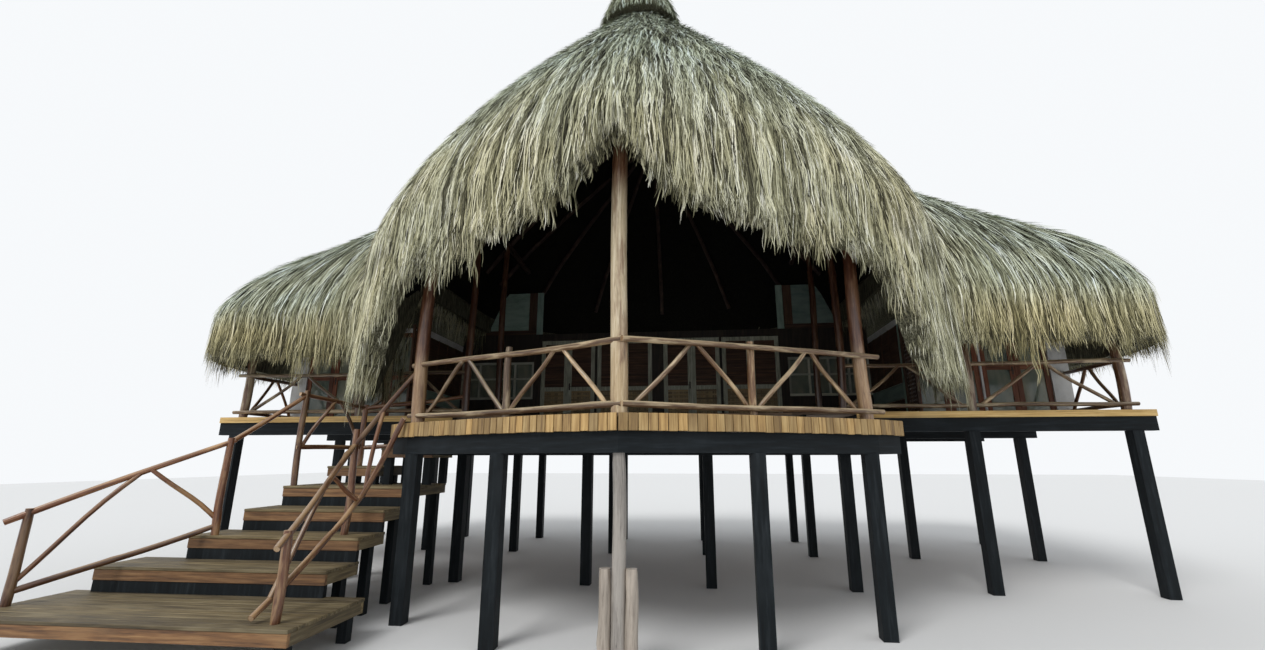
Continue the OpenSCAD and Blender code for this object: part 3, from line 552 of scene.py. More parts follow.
def locks(skin, run, column, start, wide):
    """How far each stem leans to the middle of its lock, and three random numbers that its lock shares.

    The locks are as wide as given at the hem and narrow towards the ridge, as the fall lines do."""
    place = np.interp(column, np.arange(skin.shape[1]), lengths_round(skin[-1]))
    near = np.clip(np.round(column).astype(int), 1, skin.shape[1] - 2)
    row = np.clip((run[:, near] <= start[None]).sum(0), 0, skin.shape[0] - 1)
    narrow = np.linalg.norm(skin[row, near + 1] - skin[row, near - 1], axis=1)
    narrow /= np.maximum(np.linalg.norm(skin[-1, near + 1] - skin[-1, near - 1], axis=1), 1e-6)
    course = np.clip((start / COURSE_LENGTH).astype(int), 0, COURSES - 1)
    shift = LOCK_RANDOM[course, 0] * wide
    index = np.floor((place + shift) / wide).astype(int)
    middle = (index + 0.5) * wide - shift
    lean = (middle - place) * narrow * random.uniform(0.65, 1.15, len(column))
    own = [LOCK_RANDOM[course, (index + k) % LOCKS] for k in (0, 1, 2)]
    return lean + random.normal(0, 0.006, len(column)), *own


# %% Two ways down a roof
NEAR, SUBSTEPS, EAVE_SHARE = 0.01, 3, 0.985
FRONT_LINE = 5.2


def unit(vectors):
    return vectors / np.maximum(np.linalg.norm(vectors, axis=-1, keepdims=True), 1e-6)


def follow_lines(skin, run, column, start, length, rows):
    """Centres of the blades along the skin's own fall lines, the way out of the skin, and the way aside."""
    centre = np.stack([at(skin, run, column, start + length * t) for t in rows], 1)
    beside = at(skin, run, np.clip(column + 0.5, 0, skin.shape[1] - 1), start)
    before = at(skin, run, np.clip(column - 0.5, 0, skin.shape[1] - 1), start)
    side = unit(beside - before)[:, None]
    return centre, np.cross(unit(np.gradient(centre, axis=1)), side), side


def way_down(x, y):
    """The slope of the share over the plan, the way straight out, and the way that the grass takes."""
    slope_x = (main_share(x + NEAR, y) - main_share(x - NEAR, y)) / (2 * NEAR)
    slope_y = (main_share(x, y + NEAR) - main_share(x, y - NEAR)) / (2 * NEAR)
    size = np.maximum(np.hypot(slope_x, slope_y), 1e-6)
    nx, ny = slope_x / size, slope_y / size
    at_side = ease((np.abs(x) / HALF_WIDTH - 0.62) / 0.36)
    plumb = 0.8 * ease((FRONT_LINE - y) / 2.4) * (1 - 0.75 * at_side)
    dx, dy = nx * (1 - plumb), ny * (1 - plumb) - plumb
    size = np.maximum(np.hypot(dx, dy), 1e-6)
    return (slope_x, slope_y), (nx, ny), (dx / size, dy / size)


def step_down(x, y, z, dx, dy, part):
    """A short step down the slope, or plumb down once the point is past the eaves."""
    share = main_share(x, y)
    ahead = main_share(x + dx * 2 * NEAR, y + dy * 2 * NEAR)
    drop = (PEAK - SHOULDER) * (bell(share) - bell(ahead)) / (2 * NEAR)
    move = part / np.sqrt(1 + drop ** 2)
    out_x = np.clip(x / HALF_WIDTH / np.maximum(share, 0.01), -1, 1)
    hem = DECK + main_hem(np.clip(y, RIDGE_FRONT, RIDGE_BACK), out_x) + FRINGE
    on_slope = (share < EAVE_SHARE) & (z > hem)
    x, y = x + np.where(on_slope, dx * move, 0), y + np.where(on_slope, dy * move, 0)
    return x, y, z - np.where(on_slope, drop * move, part)


def follow_fall(skin, run, column, start, length, rows):
    """Centres of the blades of the main roof. In front the grass falls plumb, not square to the eaves."""
    x, y, z = at(skin, run, column, start).T.copy()
    centre, out, beside = [], [], []
    for k in range(len(rows)):
        share = main_share(x, y)
        (slope_x, slope_y), (nx, ny), (dx, dy) = way_down(x, y)
        bell_slope = (bell(share) - bell(share + NEAR)) / NEAR
        steep = bell_slope * (PEAK - SHOULDER) * (nx * slope_x + ny * slope_y)
        centre.append(np.stack([x, y, z], 1))
        out.append(unit(np.stack([nx * steep, ny * steep, np.where(share > EAVE_SHARE, 0.0, 1.0)], 1)))
        beside.append(np.stack([-dy, dx, np.zeros(len(x))], 1))
        if k + 1 < len(rows):
            part = length * (rows[k + 1] - rows[k]) / SUBSTEPS
            for _ in range(SUBSTEPS):
                x, y, z = step_down(x, y, z, dx, dy, part)
    return np.stack(centre, 1), np.stack(out, 1), np.stack(beside, 1)


# %% The roofs
Roof = namedtuple("Roof", "path skin run lock contrast")
MAIN_ROOF = Roof(follow_fall, MAIN, lengths_down(MAIN), lock=0.055, contrast=1.0)
WING_ROOF = Roof(follow_lines, WING, lengths_down(WING), lock=0.032, contrast=0.75)
print("longest way down:", round(float(MAIN_ROOF.run.max()), 2), round(float(WING_ROOF.run.max()), 2))


# %% Laying the blades
def quad_mesh(name, points, faces):
    """A mesh of many quads, filled from arrays."""
    mesh = bpy.data.meshes.new(name)
    mesh.vertices.add(len(points))
    mesh.vertices.foreach_set("co", points.astype(np.float32).ravel())
    mesh.loops.add(faces.size)
    mesh.loops.foreach_set("vertex_index", faces.astype(np.int32).ravel())
    mesh.polygons.add(len(faces))
    mesh.polygons.foreach_set("loop_start", np.arange(0, faces.size, 4, dtype=np.int32))
    mesh.update(calc_edges=True)
    return mesh


def lay_blades(name, blade, roof, column, start, length, width, lift, wave, mirror):
    """Bends one blade down the roof at each start, and joins all of them in one mesh.

    The lift says how far each root and each tip stands off the skin. The attribute "stem" carries a blade's
    shade, the distance along it and a random number."""
    across, along, faces = blade
    count, corners = len(column), len(across)
    rows = np.unique(np.round(along, 4))
    centre, out, side = roof.path(roof.skin, roof.run, column, start, length, rows)
    sway, shade, turn, pace = locks(roof.skin, roof.run, column, start, roof.lock)
    shade = 0.5 + (shade - 0.5) * roof.contrast
    down = start[:, None] + length[:, None] * rows[None]
    turn = 6.3 * turn[:, None] + random.normal(0, 0.35, count)[:, None]
    bends = wave * np.sin(turn + down * (6 + 6 * pace[:, None])) * (0.35 + 0.65 * rows[None])
    t = rows[None, :, None]
    drift = sway[:, None, None] * t ** 1.5 + bends[..., None]
    rise = lift[:, 0, None, None] + (lift[:, 1] - lift[:, 0])[:, None, None] * t
    centre = centre + out * rise + side * drift
    twist = random.uniform(-0.5, 0.5, count)[:, None, None]
    spread = side * np.cos(twist) + out * np.sin(twist)
    row_of = np.searchsorted(rows, np.round(along, 4))
    points = centre[:, row_of] + spread[:, row_of] * (across[None, :, None] * width[:, None, None])
    if mirror:
        points[..., 0] *= -1
    quads = (faces[None] + (np.arange(count) * corners)[:, None, None]).reshape(-1, 4)
    mesh = quad_mesh(name, points.reshape(-1, 3), quads)
    stem = np.ones((count, corners, 4), np.float32)
    stem[..., 0] = (0.72 * shade + 0.28 * random.random(count))[:, None]
    stem[..., 1] = along[None]
    stem[..., 2] = random.random(count)[:, None]
    layer = mesh.color_attributes.new("stem", "FLOAT_COLOR", "POINT")
    layer.data.foreach_set("color", stem.ravel())
    mesh.materials.append(STEMS)
    piece = put_in_scene(name, mesh)
    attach(piece, "root")
    print(name, "blades:", count, "triangles:", len(mesh.loops) - 2 * len(mesh.polygons))


# %% The roofs' fur
DENSITY = 1.0
FUR_WAVE, FRINGE_WAVE = 0.03, 0.04
LOCK_STEP, WISP_STEP = 0.31, 0.09


def fur(name, roof, count, wanted, mirror, length, width=(0.008, 0.02), rise=0.0):
    """Short blades all over a roof, where they are wanted. None of them reaches far past the hem."""
    count = int(count * DENSITY)
    column, start = scatter(roof.skin, roof.run, count, wanted)
    size = random.uniform(*length, count)
    total = np.interp(column, np.arange(roof.run.shape[1]), roof.run[-1])
    start = np.maximum(0, start - size * 0.3)
    size = np.clip(total + random.uniform(-0.1, 0.05, count) - start, 0.2, size)
    width = random.uniform(*width, count)
    lift = np.stack([random.uniform(-0.05, 0.0, count), 0.09 * random.random(count) ** 1.4], 1) + rise
    lay_blades(name, SHORT_BLADE, roof, column, start, size, width, lift, FUR_WAVE, mirror)


def lock_length(place, step, row, fall_off):
    """Long in the middle of a lock and short at its edges, with a random length for each lock."""
    return LOCK_RANDOM[row, (place / step).astype(int)] * (1 - fall_off * np.abs((place / step) % 1 - 0.5))


def hang(name, roof, count, mirror, drop, wanted=None):
    """The fringe: long blades that start above the hem and hang past it in uneven locks.

    Some of them start under the hem, inside the coat, so that its cut edge doesn't show from below."""
    hem = roof.skin[-1]
    ring = lengths_round(hem)
    place = random.uniform(0, ring[-1] * 0.9999, int(count * DENSITY))
    column = np.interp(place, ring, np.arange(len(ring)))
    if wanted is not None:
        keep = wanted(hem[np.round(column).astype(int)])
        place, column = place[keep], column[keep]
    count = len(place)
    wide, fine = lock_length(place, LOCK_STEP, 1, 1.2), lock_length(place, WISP_STEP, 2, 1)
    fall = drop(hem[np.round(column).astype(int)])
    reach = fall * (1.8 * wide ** 2 + 0.6 * fine) * random.uniform(0.15, 1.0, count) ** 0.7
    above = random.uniform(0.3, 2.3, count)
    total = np.interp(column, np.arange(roof.run.shape[1]), roof.run[-1])
    width = random.uniform(0.008, 0.018, count)
    lift = np.stack([random.uniform(-0.02, 0.03, count), random.uniform(0.0, 0.11, count)], 1)
    under = random.random(count) < 0.4
    above = np.where(under, random.uniform(0.05, 0.3, count), above)
    reach = np.where(under, reach + 0.03, reach)
    lift = np.where(under[:, None], -random.uniform(0.02, 0.27, (count, 1)) + lift * 0.5, lift)
    start, length = total - above, above + reach
    lay_blades(name, LONG_BLADE, roof, column, start, length, width, lift, FRINGE_WAVE, mirror)


# %% Where each kind of grass grows
def main_shows(p):
    return p[..., 2] > wing_height(p) - 0.12


def front_half(p):
    return (main_shows(p) & (p[..., 1] < FRONT_LINE)) * 1.0


def back_half(p):
    return (main_shows(p) & (p[..., 1] >= FRONT_LINE)) * 1.0


def outside_main(p):
    return (p[..., 2] > main_height(p) - 0.1) * 1.0


def past_main(p):
    """The wing's fringe hangs where the main roof ends, and is thinner at the back."""
    return (main_height(p) < 0) & ((p[..., 1] < 6.5) | (random.random(p.shape[:-1]) < 0.4))


def everywhere(p):
    return np.ones(p.shape[:-1])


def main_drop(p, full):
    """The fringe is short over the centre post and long at the sides."""
    return 0.08 + full * ease((p[:, 0] - 0.25) / 0.7)


def wing_drop(p):
    return np.full(len(p), 0.42)


for side, mirror, full in (("right", False, 0.29), ("left", True, 0.4)):
    fur(f"thatch_front_{side}", MAIN_ROOF, 26000, front_half, mirror, length=(0.6, 1.3))
    fur(f"thatch_back_{side}", MAIN_ROOF, 5000, back_half, mirror, length=(0.6, 1.2), width=(0.014, 0.034))
    fur(f"thatch_{side}_wing_fur", WING_ROOF, 16000, outside_main, mirror, length=(0.5, 1.1),
        width=(0.01, 0.028), rise=0.035)
    hang(f"thatch_fringe_{side}", MAIN_ROOF, 8500, mirror, lambda p, full=full: main_drop(p, full))
    hang(f"thatch_fringe_{side}_wing", WING_ROOF, 6500, mirror, wing_drop, past_main)

# %% Grass of the cap
CAP_FOOT, CAP_HEIGHT, CAP_RADIUS = DECK + 7.98, 1.15, 0.78
CAP_STEPS = ((1.0, 0.02), (0.99, 0.16), (0.76, 0.5), (0.42, 0.8), (0, 1), (-0.08, 1.0))


def cap_skin(count=60):
    """Half of the cap's outside: round ends over a straight ridge. Each step has its height and radius."""
    angle = np.concatenate([np.linspace(-np.pi / 2, 0, count), np.linspace(0, np.pi / 2, count)])
    y = np.concatenate([np.full(count, RIDGE_FRONT), np.full(count, RIDGE_BACK)])
    skin = []
    for up, r in CAP_STEPS:
        z = np.full(2 * count, CAP_FOOT + CAP_HEIGHT * up)
        skin.append(np.stack([CAP_RADIUS * r * np.cos(angle), y + CAP_RADIUS * r * np.sin(angle), z], 1))
    return np.array(skin)


CAP = cap_skin()
CAP_ROOF = Roof(follow_lines, CAP, lengths_down(CAP), lock=0.032, contrast=0.75)
for side, mirror in (("right", False), ("left", True)):
    fur(f"thatch_cap_{side}", CAP_ROOF, 4500, everywhere, mirror, length=(0.35, 0.75))

# %% [markdown]
# ## The underside
# The inner side of the grass is painted nearly black as shade, and only its low edge is painted paler as the
# light from outside. The coat's solid has one finish all over, so a thin surface just inside it takes the
# dark finish.
# It uses the same rings of points as the fur, set in by the depth of the coat.

# %% The underside, painted dark as shade
LINING_RINGS = 26


def line_roof(name, skin, mirror, material):
    """A surface of quads just inside the coat, which faces the room."""
    rows, columns = skin.shape[:2]
    points = skin.reshape(-1, 3) * ((-1, 1, 1) if mirror else (1, 1, 1))
    faces = []
    for r in range(rows - 1):
        for c in range(columns - 1):
            a, b = r * columns + c, (r + 1) * columns + c
            quad = (a, b, b + 1, a + 1)
            faces.append(quad if mirror else quad[::-1])
    mesh = bpy.data.meshes.new(name)
    mesh.from_pydata(points.tolist(), [], faces)
    mesh.materials.append(material)
    piece = put_in_scene(name, mesh)
    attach(piece, "root")
    print(name, "faces:", len(faces))


def underside_finish():
    f = Finish("thatch_underside_painted_shade", roughness=0.95, Specular_IOR_Level=0.1)
    stems = f.noise((40, 40, 5), detail=4, roughness=0.7)
    # Painted light: the low edge is paler, as light from outside; higher up the painted shade is nearly
    # black.
    light = 1.0 - f.axis("Z").above(3.3, 4.9)
    dark = f.ramp(stems, (0.3, (0.004, 0.004, 0.004)), (0.7, (0.02, 0.019, 0.014)))
    pale = f.ramp(stems, (0.3, (0.02, 0.02, 0.014)), (0.7, (0.16, 0.155, 0.11)))
    return f.paint(f.mix(light, dark, pale), height=stems, depth=0.02)


UNDERSIDE = underside_finish()
inside = main_skin(count=30, rings=LINING_RINGS, depth=COAT_DEPTH + 0.08)
for side, mirror in (("right", False), ("left", True)):
    line_roof(f"thatch_underside_{side}", inside[:LINING_RINGS], mirror, UNDERSIDE)


# %% [markdown]
# ## Boards and logs
# Almost everything under the thatch is either a sawn board or a peeled log. Each is modelled once, in edit
# mode, and kept as lists of corners and faces. A copy is then stretched between its two ends, so that its
# worn edges keep their width whatever its length. Every copy also carries two attributes: the place inside
# its own piece of timber, which lets the grain run along it, and a random shade, because no two boards come
# from the same tree.

# %% A board with worn edges
random = np.random.default_rng(11)
GRAIN_SHIFT = 60
Timber = namedtuple("Timber", "points faces grain shade is_log")


def keep_shape(obj):
    """Corners and faces of a modelled shape, whose object is then removed."""
    corners = np.array([v.co[:] for v in obj.data.vertices])
    faces = [tuple(p.vertices) for p in obj.data.polygons]
    bpy.data.objects.remove(obj)
    return corners, faces


def model_board():
    """A unit cube with all its edges cut off. A copy sets the true width of these worn edges."""
    clear_selection()
    bpy.ops.mesh.primitive_cube_add(size=1, location=(0.5, 0.5, 0.5))
    bpy.ops.object.transform_apply(location=True)
    bpy.ops.object.mode_set(mode="EDIT")
    bpy.ops.mesh.select_all(action="SELECT")
    bpy.ops.mesh.bevel(offset=0.2, segments=1)
    bpy.ops.object.mode_set(mode="OBJECT")
    return keep_shape(bpy.context.object)


BOARD_CORNERS, BOARD_FACES = model_board()
print("board corners:", len(BOARD_CORNERS), "faces:", len(BOARD_FACES))


def board(low, high, worn=0.004, slant=None):
    """A board that fills the box from low to high. Its grain runs along the longest side.

    The slant is a function that moves the finished corners."""
    low, high = np.array(low, float), np.array(high, float)
    inset = np.where((BOARD_CORNERS > 0.1) & (BOARD_CORNERS < 0.9), worn, 0.0)
    points = np.where(BOARD_CORNERS < 0.5, low + inset, high - inset)
    order = np.argsort(high - low)
    grain = (points - low)[:, order] + random.uniform(0, GRAIN_SHIFT, 3)
    if slant:
        points = slant(points)
    return Timber(points, BOARD_FACES, grain, random.random(), False)


# %% A peeled log
LOG_SIDES, LONG_ROWS, SHORT_ROWS, LONG_FROM = 12, 18, 7, 1.6


def model_log(rows):
    """A cylinder cut into rows, with its flat ends set in a little, so that they stay crisp."""
    clear_selection()
    bpy.ops.mesh.primitive_cylinder_add(vertices=LOG_SIDES, radius=1, depth=1, location=(0, 0, 0.5),
                                        end_fill_type="NGON")
    bpy.ops.object.transform_apply(location=True)
    log = bpy.context.object
    bpy.ops.object.mode_set(mode="EDIT")
    bpy.ops.mesh.select_mode(type="EDGE")
    shape = bmesh.from_edit_mesh(log.data)
    for e in shape.edges:
        e.select = abs(e.verts[0].co.z - e.verts[1].co.z) > 0.5
    bmesh.update_edit_mesh(log.data)
    bpy.ops.mesh.subdivide(number_cuts=rows - 1)
    bpy.ops.mesh.select_mode(type="FACE")
    shape = bmesh.from_edit_mesh(log.data)
    for f in shape.faces:
        f.select = abs(f.normal.z) > 0.9
    bmesh.update_edit_mesh(log.data)
    bpy.ops.mesh.inset(thickness=0.16, use_individual=True)
    bpy.ops.object.mode_set(mode="OBJECT")
    return keep_shape(log)


LONG_LOG, SHORT_LOG = model_log(LONG_ROWS), model_log(SHORT_ROWS)
print("log corners:", len(LONG_LOG[0]), len(SHORT_LOG[0]))


def bumpy_radius(t, angle, thick, taper, length, phase, knots):
    """The radius of a trunk: tapered, never quite round, and swollen at its knots."""
    radius = thick / 2 * (1 + taper * (0.5 - t))
    radius *= 1 + 0.035 * np.sin(2 * angle + phase[0] + 2 * t) + 0.03 * np.sin(3 * angle + phase[1] - 5 * t)
    radius *= 1 + 0.03 * np.sin(9 * t + phase[2]) * np.sin(angle + phase[3])
    for _ in range(knots):
        place, side = random.uniform(0.08, 0.92), random.uniform(-np.pi, np.pi)
        turn = np.abs((angle - side + np.pi) % (2 * np.pi) - np.pi)
        radius += thick * 0.10 * np.exp(-((t - place) * length / 0.07) ** 2 - (turn / 0.6) ** 2)
    return radius


def log(start, end, thick, bend=0.012, taper=0.1, shade=None, knots=None):
    """A crooked log from start to end: it bows a little, tapers, and swells at its knots."""
    start, end = np.array(start, float), np.array(end, float)
    length = np.linalg.norm(end - start)
    corners, faces = LONG_LOG if length > LONG_FROM else SHORT_LOG
    ahead = (end - start) / length
    aside = np.cross(ahead, (0, 0, 1.0) if abs(ahead[2]) < 0.9 else (1.0, 0, 0))
    aside /= np.linalg.norm(aside)
    across = np.cross(ahead, aside)
    t = np.clip(corners[:, 2], 0, 1)
    reach = np.hypot(corners[:, 0], corners[:, 1])
    angle = np.arctan2(corners[:, 1], corners[:, 0])
    phase = random.uniform(0, 2 * np.pi, 6)
    knots = int(length * 1.6) if knots is None else knots
    radius = bumpy_radius(t, angle, thick, taper, length, phase, knots)
    ends = (t < 1e-4) | (t > 1 - 1e-4)
    radius = np.where(ends & (reach > 0.95), radius * 0.93, radius)
    bow = bend * length * np.sin(np.pi * t)
    sway = bend * 0.5 * length * np.sin(2 * np.pi * t)
    u, v = radius * reach * np.cos(angle), radius * reach * np.sin(angle)
    points = start + np.outer(t * length, ahead)
    points += np.outer(bow * np.cos(phase[4]) + sway * np.cos(phase[5]), aside)
    points += np.outer(bow * np.sin(phase[4]) + sway * np.sin(phase[5]), across)
    points += aside * u[:, None] + across * v[:, None]
    grain = np.stack([u, v, t * length], 1)
    grain += np.array([0, 0, random.uniform(0, GRAIN_SHIFT)])
    return Timber(points, faces, grain, random.random() if shade is None else shade, True)


def joined_mesh(name, copies, materials):
    """One mesh of all copies, with the grain and the shade of each. A log's ends take the second material."""
    points = np.concatenate([c.points for c in copies])
    grain = np.concatenate([c.grain for c in copies])
    shade = np.concatenate([np.full(len(c.points), c.shade) for c in copies])
    faces, marks, shift = [], [], 0
    for c in copies:
        faces += [tuple(v + shift for v in f) for f in c.faces]
        marks += [1 if c.is_log and len(f) > 4 and len(materials) > 1 else 0 for f in c.faces]
        shift += len(c.points)
    mesh = bpy.data.meshes.new(name)
    mesh.from_pydata(points.tolist(), [], faces)
    layer = mesh.attributes.new("grain", "FLOAT_VECTOR", "POINT")
    layer.data.foreach_set("vector", grain.astype(np.float32).ravel())
    layer = mesh.attributes.new("shade", "FLOAT", "POINT")
    layer.data.foreach_set("value", shade.astype(np.float32))
    for material in materials:
        mesh.materials.append(material)
    mesh.polygons.foreach_set("material_index", np.array(marks, np.int32))
    return mesh


def join(name, copies, materials, body="root", replaces=(), smooth=None):
    """Makes one piece of all copies. It rides on its body and hides the solids that it stands for."""
    piece = put_in_scene(name, joined_mesh(name, copies, materials))
    clear_selection()
    piece.select_set(True)
    bpy.context.view_layer.objects.active = piece
    bpy.ops.object.mode_set(mode="EDIT")
    bpy.ops.mesh.select_all(action="SELECT")
    bpy.ops.mesh.normals_make_consistent(inside=False)
    bpy.ops.object.mode_set(mode="OBJECT")
    if smooth is not None:
        bpy.ops.object.shade_smooth_by_angle(angle=math.radians(smooth))
    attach(piece, body)
    if replaces:
        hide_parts(*replaces)
    print(name, "copies:", len(copies), "faces:", len(piece.data.polygons))


# %% [markdown]
# ## Finishes of boards and logs
# The sawn boards are brown and dull. The logs are the opposite: peeled, varnished dark red, and worn back to
# pale wood where sun and hands reach them, so a dark and shiny log stands beside one that is nearly white.
# Both kinds are noise stretched along the grain, a ramp of three colours, and a mask for the wear; the
# railings' logs also get a painted highlight on their upper sides. The masks of the posts follow their
# height, because a post is bleached up to the shadow of the roof, and above about 3.9 m the pale wood is
# painted lighter than at the foot, as light against the roof's shade.


# %% Timber finishes
def timber_finish(name, dark, middle, light, roughness=0.6, across=26, wear=0.35):
    """Sawn timber: growth lines along the grain, a shade for each board, and paler worn patches."""
    f = Finish(name, roughness=roughness)
    grain = f.attribute("grain", "Vector")
    shade = f.attribute("shade", "Fac")
    lines = f.noise((across, across, 1.6), detail=6, roughness=0.65, place=grain)
    patches = f.noise((3, 3, 1.2), detail=3, place=grain)
    colour = f.ramp(lines, (0.3, dark), (0.52, middle), (0.75, light))
    tone = f.ramp(shade, (0.0, (0.62, 0.60, 0.58)), (0.5, (1.0, 1.0, 1.0)), (1.0, (1.28, 1.22, 1.12)))
    colour = f.tinted(colour, tone)
    colour = f.mix(patches.above(0.52, 0.7) * wear, colour, light)
    return f.paint(colour, roughness=lines * 0.25 + (roughness - 0.1), height=lines, depth=0.004)


FASCIA = timber_finish("orange_fascia_boards", (0.17, 0.095, 0.035), (0.38, 0.245, 0.095), (0.58, 0.42, 0.20))
TREADS = timber_finish("brown_stair_boards", (0.04, 0.028, 0.013), (0.148, 0.112, 0.053), (0.30, 0.245, 0.14))
FRONT_BOARDS = timber_finish("orange_step_fronts", (0.06, 0.027, 0.012), (0.19, 0.095, 0.038),
                             (0.34, 0.20, 0.09))
DECKING = timber_finish("brown_floor_boards", (0.12, 0.075, 0.045), (0.26, 0.165, 0.10), (0.40, 0.27, 0.17))
print("sawn finishes:", [m.name for m in (FASCIA, TREADS, FRONT_BOARDS, DECKING)])

# %% Bark finishes
# CENTRE_PALE is bright, and below about 3 m BROWN_FOOT dulls it to the foot's browner colour, so higher up
# the pale wood carries painted light against the roof's shade.
CENTRE_PALE = ((0.25, 0.17, 0.09), (0.56, 0.45, 0.29), (0.84, 0.76, 0.58))
FRONT_PALE = ((0.15, 0.08, 0.04), (0.37, 0.24, 0.13), (0.64, 0.50, 0.34))
BROWN_FOOT = (0.80, 0.72, 0.62)


def bark_finish(name, dark, middle, light, bleached=None, pale=CENTRE_PALE, patches=0.55, coat=0.3, top=0.0):
    """A peeled and varnished log: long cracks, dark knots, and pale places where sun and hands have worn it.

    Bleached gives the two heights between which a post's pale foot ends, and top the strength of a painted
    highlight on upper sides."""
    f = Finish(name, roughness=0.42, Coat_Weight=coat, Coat_Roughness=0.2)
    grain = f.attribute("grain", "Vector")
    shade = f.attribute("shade", "Fac")
    lines = f.noise((34, 34, 2.2), detail=6, roughness=0.7, warp=0.3, place=grain)
    cracks = f.noise((70, 70, 3.0), detail=3, roughness=0.6, place=grain)
    rubbed = f.noise((5, 5, 1.1), detail=4, roughness=0.6, place=grain)
    colour = f.ramp(lines, (0.28, dark), (0.5, middle), (0.78, light))
    colour = f.mix(rubbed.above(0.52, 0.62) * patches, colour, light)
    tone = f.ramp(shade, (0.0, (0.50, 0.46, 0.44)), (0.5, (0.95, 0.93, 0.92)), (1.0, (1.40, 1.25, 1.1)))
    colour = f.tinted(colour, tone)
    if bleached:
        pale = f.ramp(lines, *zip((0.25, 0.48, 0.75), pale))
        # The foot is browner; above 3.9 m the pale stays bright, as painted light against the roof's shade.
        pale = f.mix(f.axis("Z").above(3.0, 3.9), f.tinted(pale, BROWN_FOOT), pale)
        height = f.axis("Z") + rubbed * 0.5 - 0.25
        sunny = (1.0 - height.above(*bleached)) * (1.0 - f.axis("Y").above(2.4, 3.2))
        colour = f.mix(sunny * (0.35 + 0.65 * rubbed.above(0.36, 0.5)), colour, pale)
    # Painted highlight: sides that face up are made paler, as light from above.
    if top:
        highlight_facing_up = f.axis("Z", f.node("ShaderNodeNewGeometry", out="Normal"))
        colour = f.mix(highlight_facing_up.above(0.15, 0.8) * rubbed.above(0.3, 0.5) * top, colour, light)
    colour = f.mix(cracks.above(0.64, 0.72) * 0.8, colour, tuple(c * 0.25 for c in dark))
    return f.paint(colour, roughness=lines * 0.35 + 0.22, height=lines * 0.7 + cracks * 0.3, depth=0.006)


def end_grain(name, pale, ring):
    """The sawn end of a log: rings round the pith and a few cracks."""
    f = Finish(name, roughness=0.8)
    grain = f.attribute("grain", "Vector")
    flat = f.node("ShaderNodeMapping", {}, {"Vector": grain, "Scale": (1.0, 1.0, 0.0)})
    rings = f.node("ShaderNodeTexWave", {"wave_type": "RINGS", "rings_direction": "Z"},
                   {"Vector": flat, "Scale": 38.0, "Distortion": 1.5, "Detail": 2.0, "Detail Scale": 2.0})
    return f.paint(f.ramp(rings, (0.2, ring), (0.7, pale)), height=rings, depth=0.001)


# REDWOOD and RAIL_WOOD paint a highlight on their upper sides. The rails' pale colour is both their worn wood
# and that painted highlight.
REDWOOD = bark_finish("red_log_bark", (0.03, 0.010, 0.005), (0.145, 0.054, 0.022), (0.44, 0.29, 0.15),
                      coat=0.45, top=0.5)
RAIL_WOOD = bark_finish("worn_and_highlit_rail_bark", (0.035, 0.014, 0.007), (0.145, 0.082, 0.039), (0.66, 0.545, 0.35),
                        patches=0.6, top=0.6)
FRONT_WOOD = bark_finish("sunny_post_bark", (0.03, 0.009, 0.004), (0.105, 0.036, 0.016), (0.34, 0.20, 0.11),
                         bleached=(3.4, 3.75), pale=FRONT_PALE, patches=0.35, coat=0.65)
WING_WOOD = bark_finish("wing_post_bark", (0.05, 0.018, 0.009), (0.16, 0.075, 0.036), (0.50, 0.40, 0.27),
                        patches=0.9)
CENTRE_WOOD = bark_finish("centre_post_bark", (0.035, 0.013, 0.008), (0.135, 0.058, 0.028),
                          (0.50, 0.40, 0.26), bleached=(5.2, 5.8))
GREY_LOG = bark_finish("grey_log_bark", (0.12, 0.11, 0.10), (0.27, 0.255, 0.235), (0.42, 0.40, 0.37))
SAWN_END = end_grain("sawn_log_ends", (0.60, 0.44, 0.28), (0.34, 0.20, 0.10))
print("bark finishes:", [m.name for m in (REDWOOD, RAIL_WOOD, FRONT_WOOD, WING_WOOD, CENTRE_WOOD, GREY_LOG)])

# %% [markdown]
# ## Posts
# The posts are peeled trunks, none of them straight. Each stands where its solid stands and reaches up to the
# plate that carries the rafters, so the height of that plate is worked out from the roof's own form.

# %% The plate that the posts reach
FLOOR = 2.96
CENTRE_POST, FRONT_POST, SIDE_POST, WING_POST = 0.21, 0.185, 0.14, 0.15
PROW_POST = (3.19, 1.46)
SIDE_POST_X, SIDE_POST_YS = 3.58, (4.04, 5.84)
WING_LINE, WING_POST_XS = 4.04, (5.8, 8.32)
WING_PLATE, WING_PLATE_THICK = DECK + WING_SHOULDER - 0.08, 0.105
PEAK_INSIDE, PLATE_DROP = PEAK - 0.42, 0.13


def under_roof(x, y):
    """The height of the coat's inner side over a point of the plan."""
    front = y < RIDGE_FRONT
    run = RIDGE_FRONT - y if front else max(0.0, y - RIDGE_BACK)
    reach = (FRONT_REACH if front else BACK_REACH) - COAT_DEPTH

    def share(guess):
        power = float(prow_power(front, guess))
        return ((abs(x) / (HALF_WIDTH - COAT_DEPTH)) ** power + (run / reach) ** power) ** (1 / power)

    found = min(1.0, share(min(1, share(FIRST_GUESS))))
    return DECK + SHOULDER + (PEAK_INSIDE - SHOULDER) * float(bell(found))


def plate_height(x, y, thick):
    return under_roof(x + thick / 2, y - thick / 2 if y < RIDGE_FRONT else y) - PLATE_DROP


print("plate over the centre post:", round(plate_height(0, 0, CENTRE_POST), 3))

# %% Posts under the roofs
LOG_SMOOTH = 50


def post(x, y, foot, top, thick, **more):
    return log((x, y, foot), (x, y, top), thick, **more)


def join_logs(name, logs, bark, node, end=SAWN_END):
    join(name, logs, [bark, end], replaces=[node], smooth=LOG_SMOOTH)


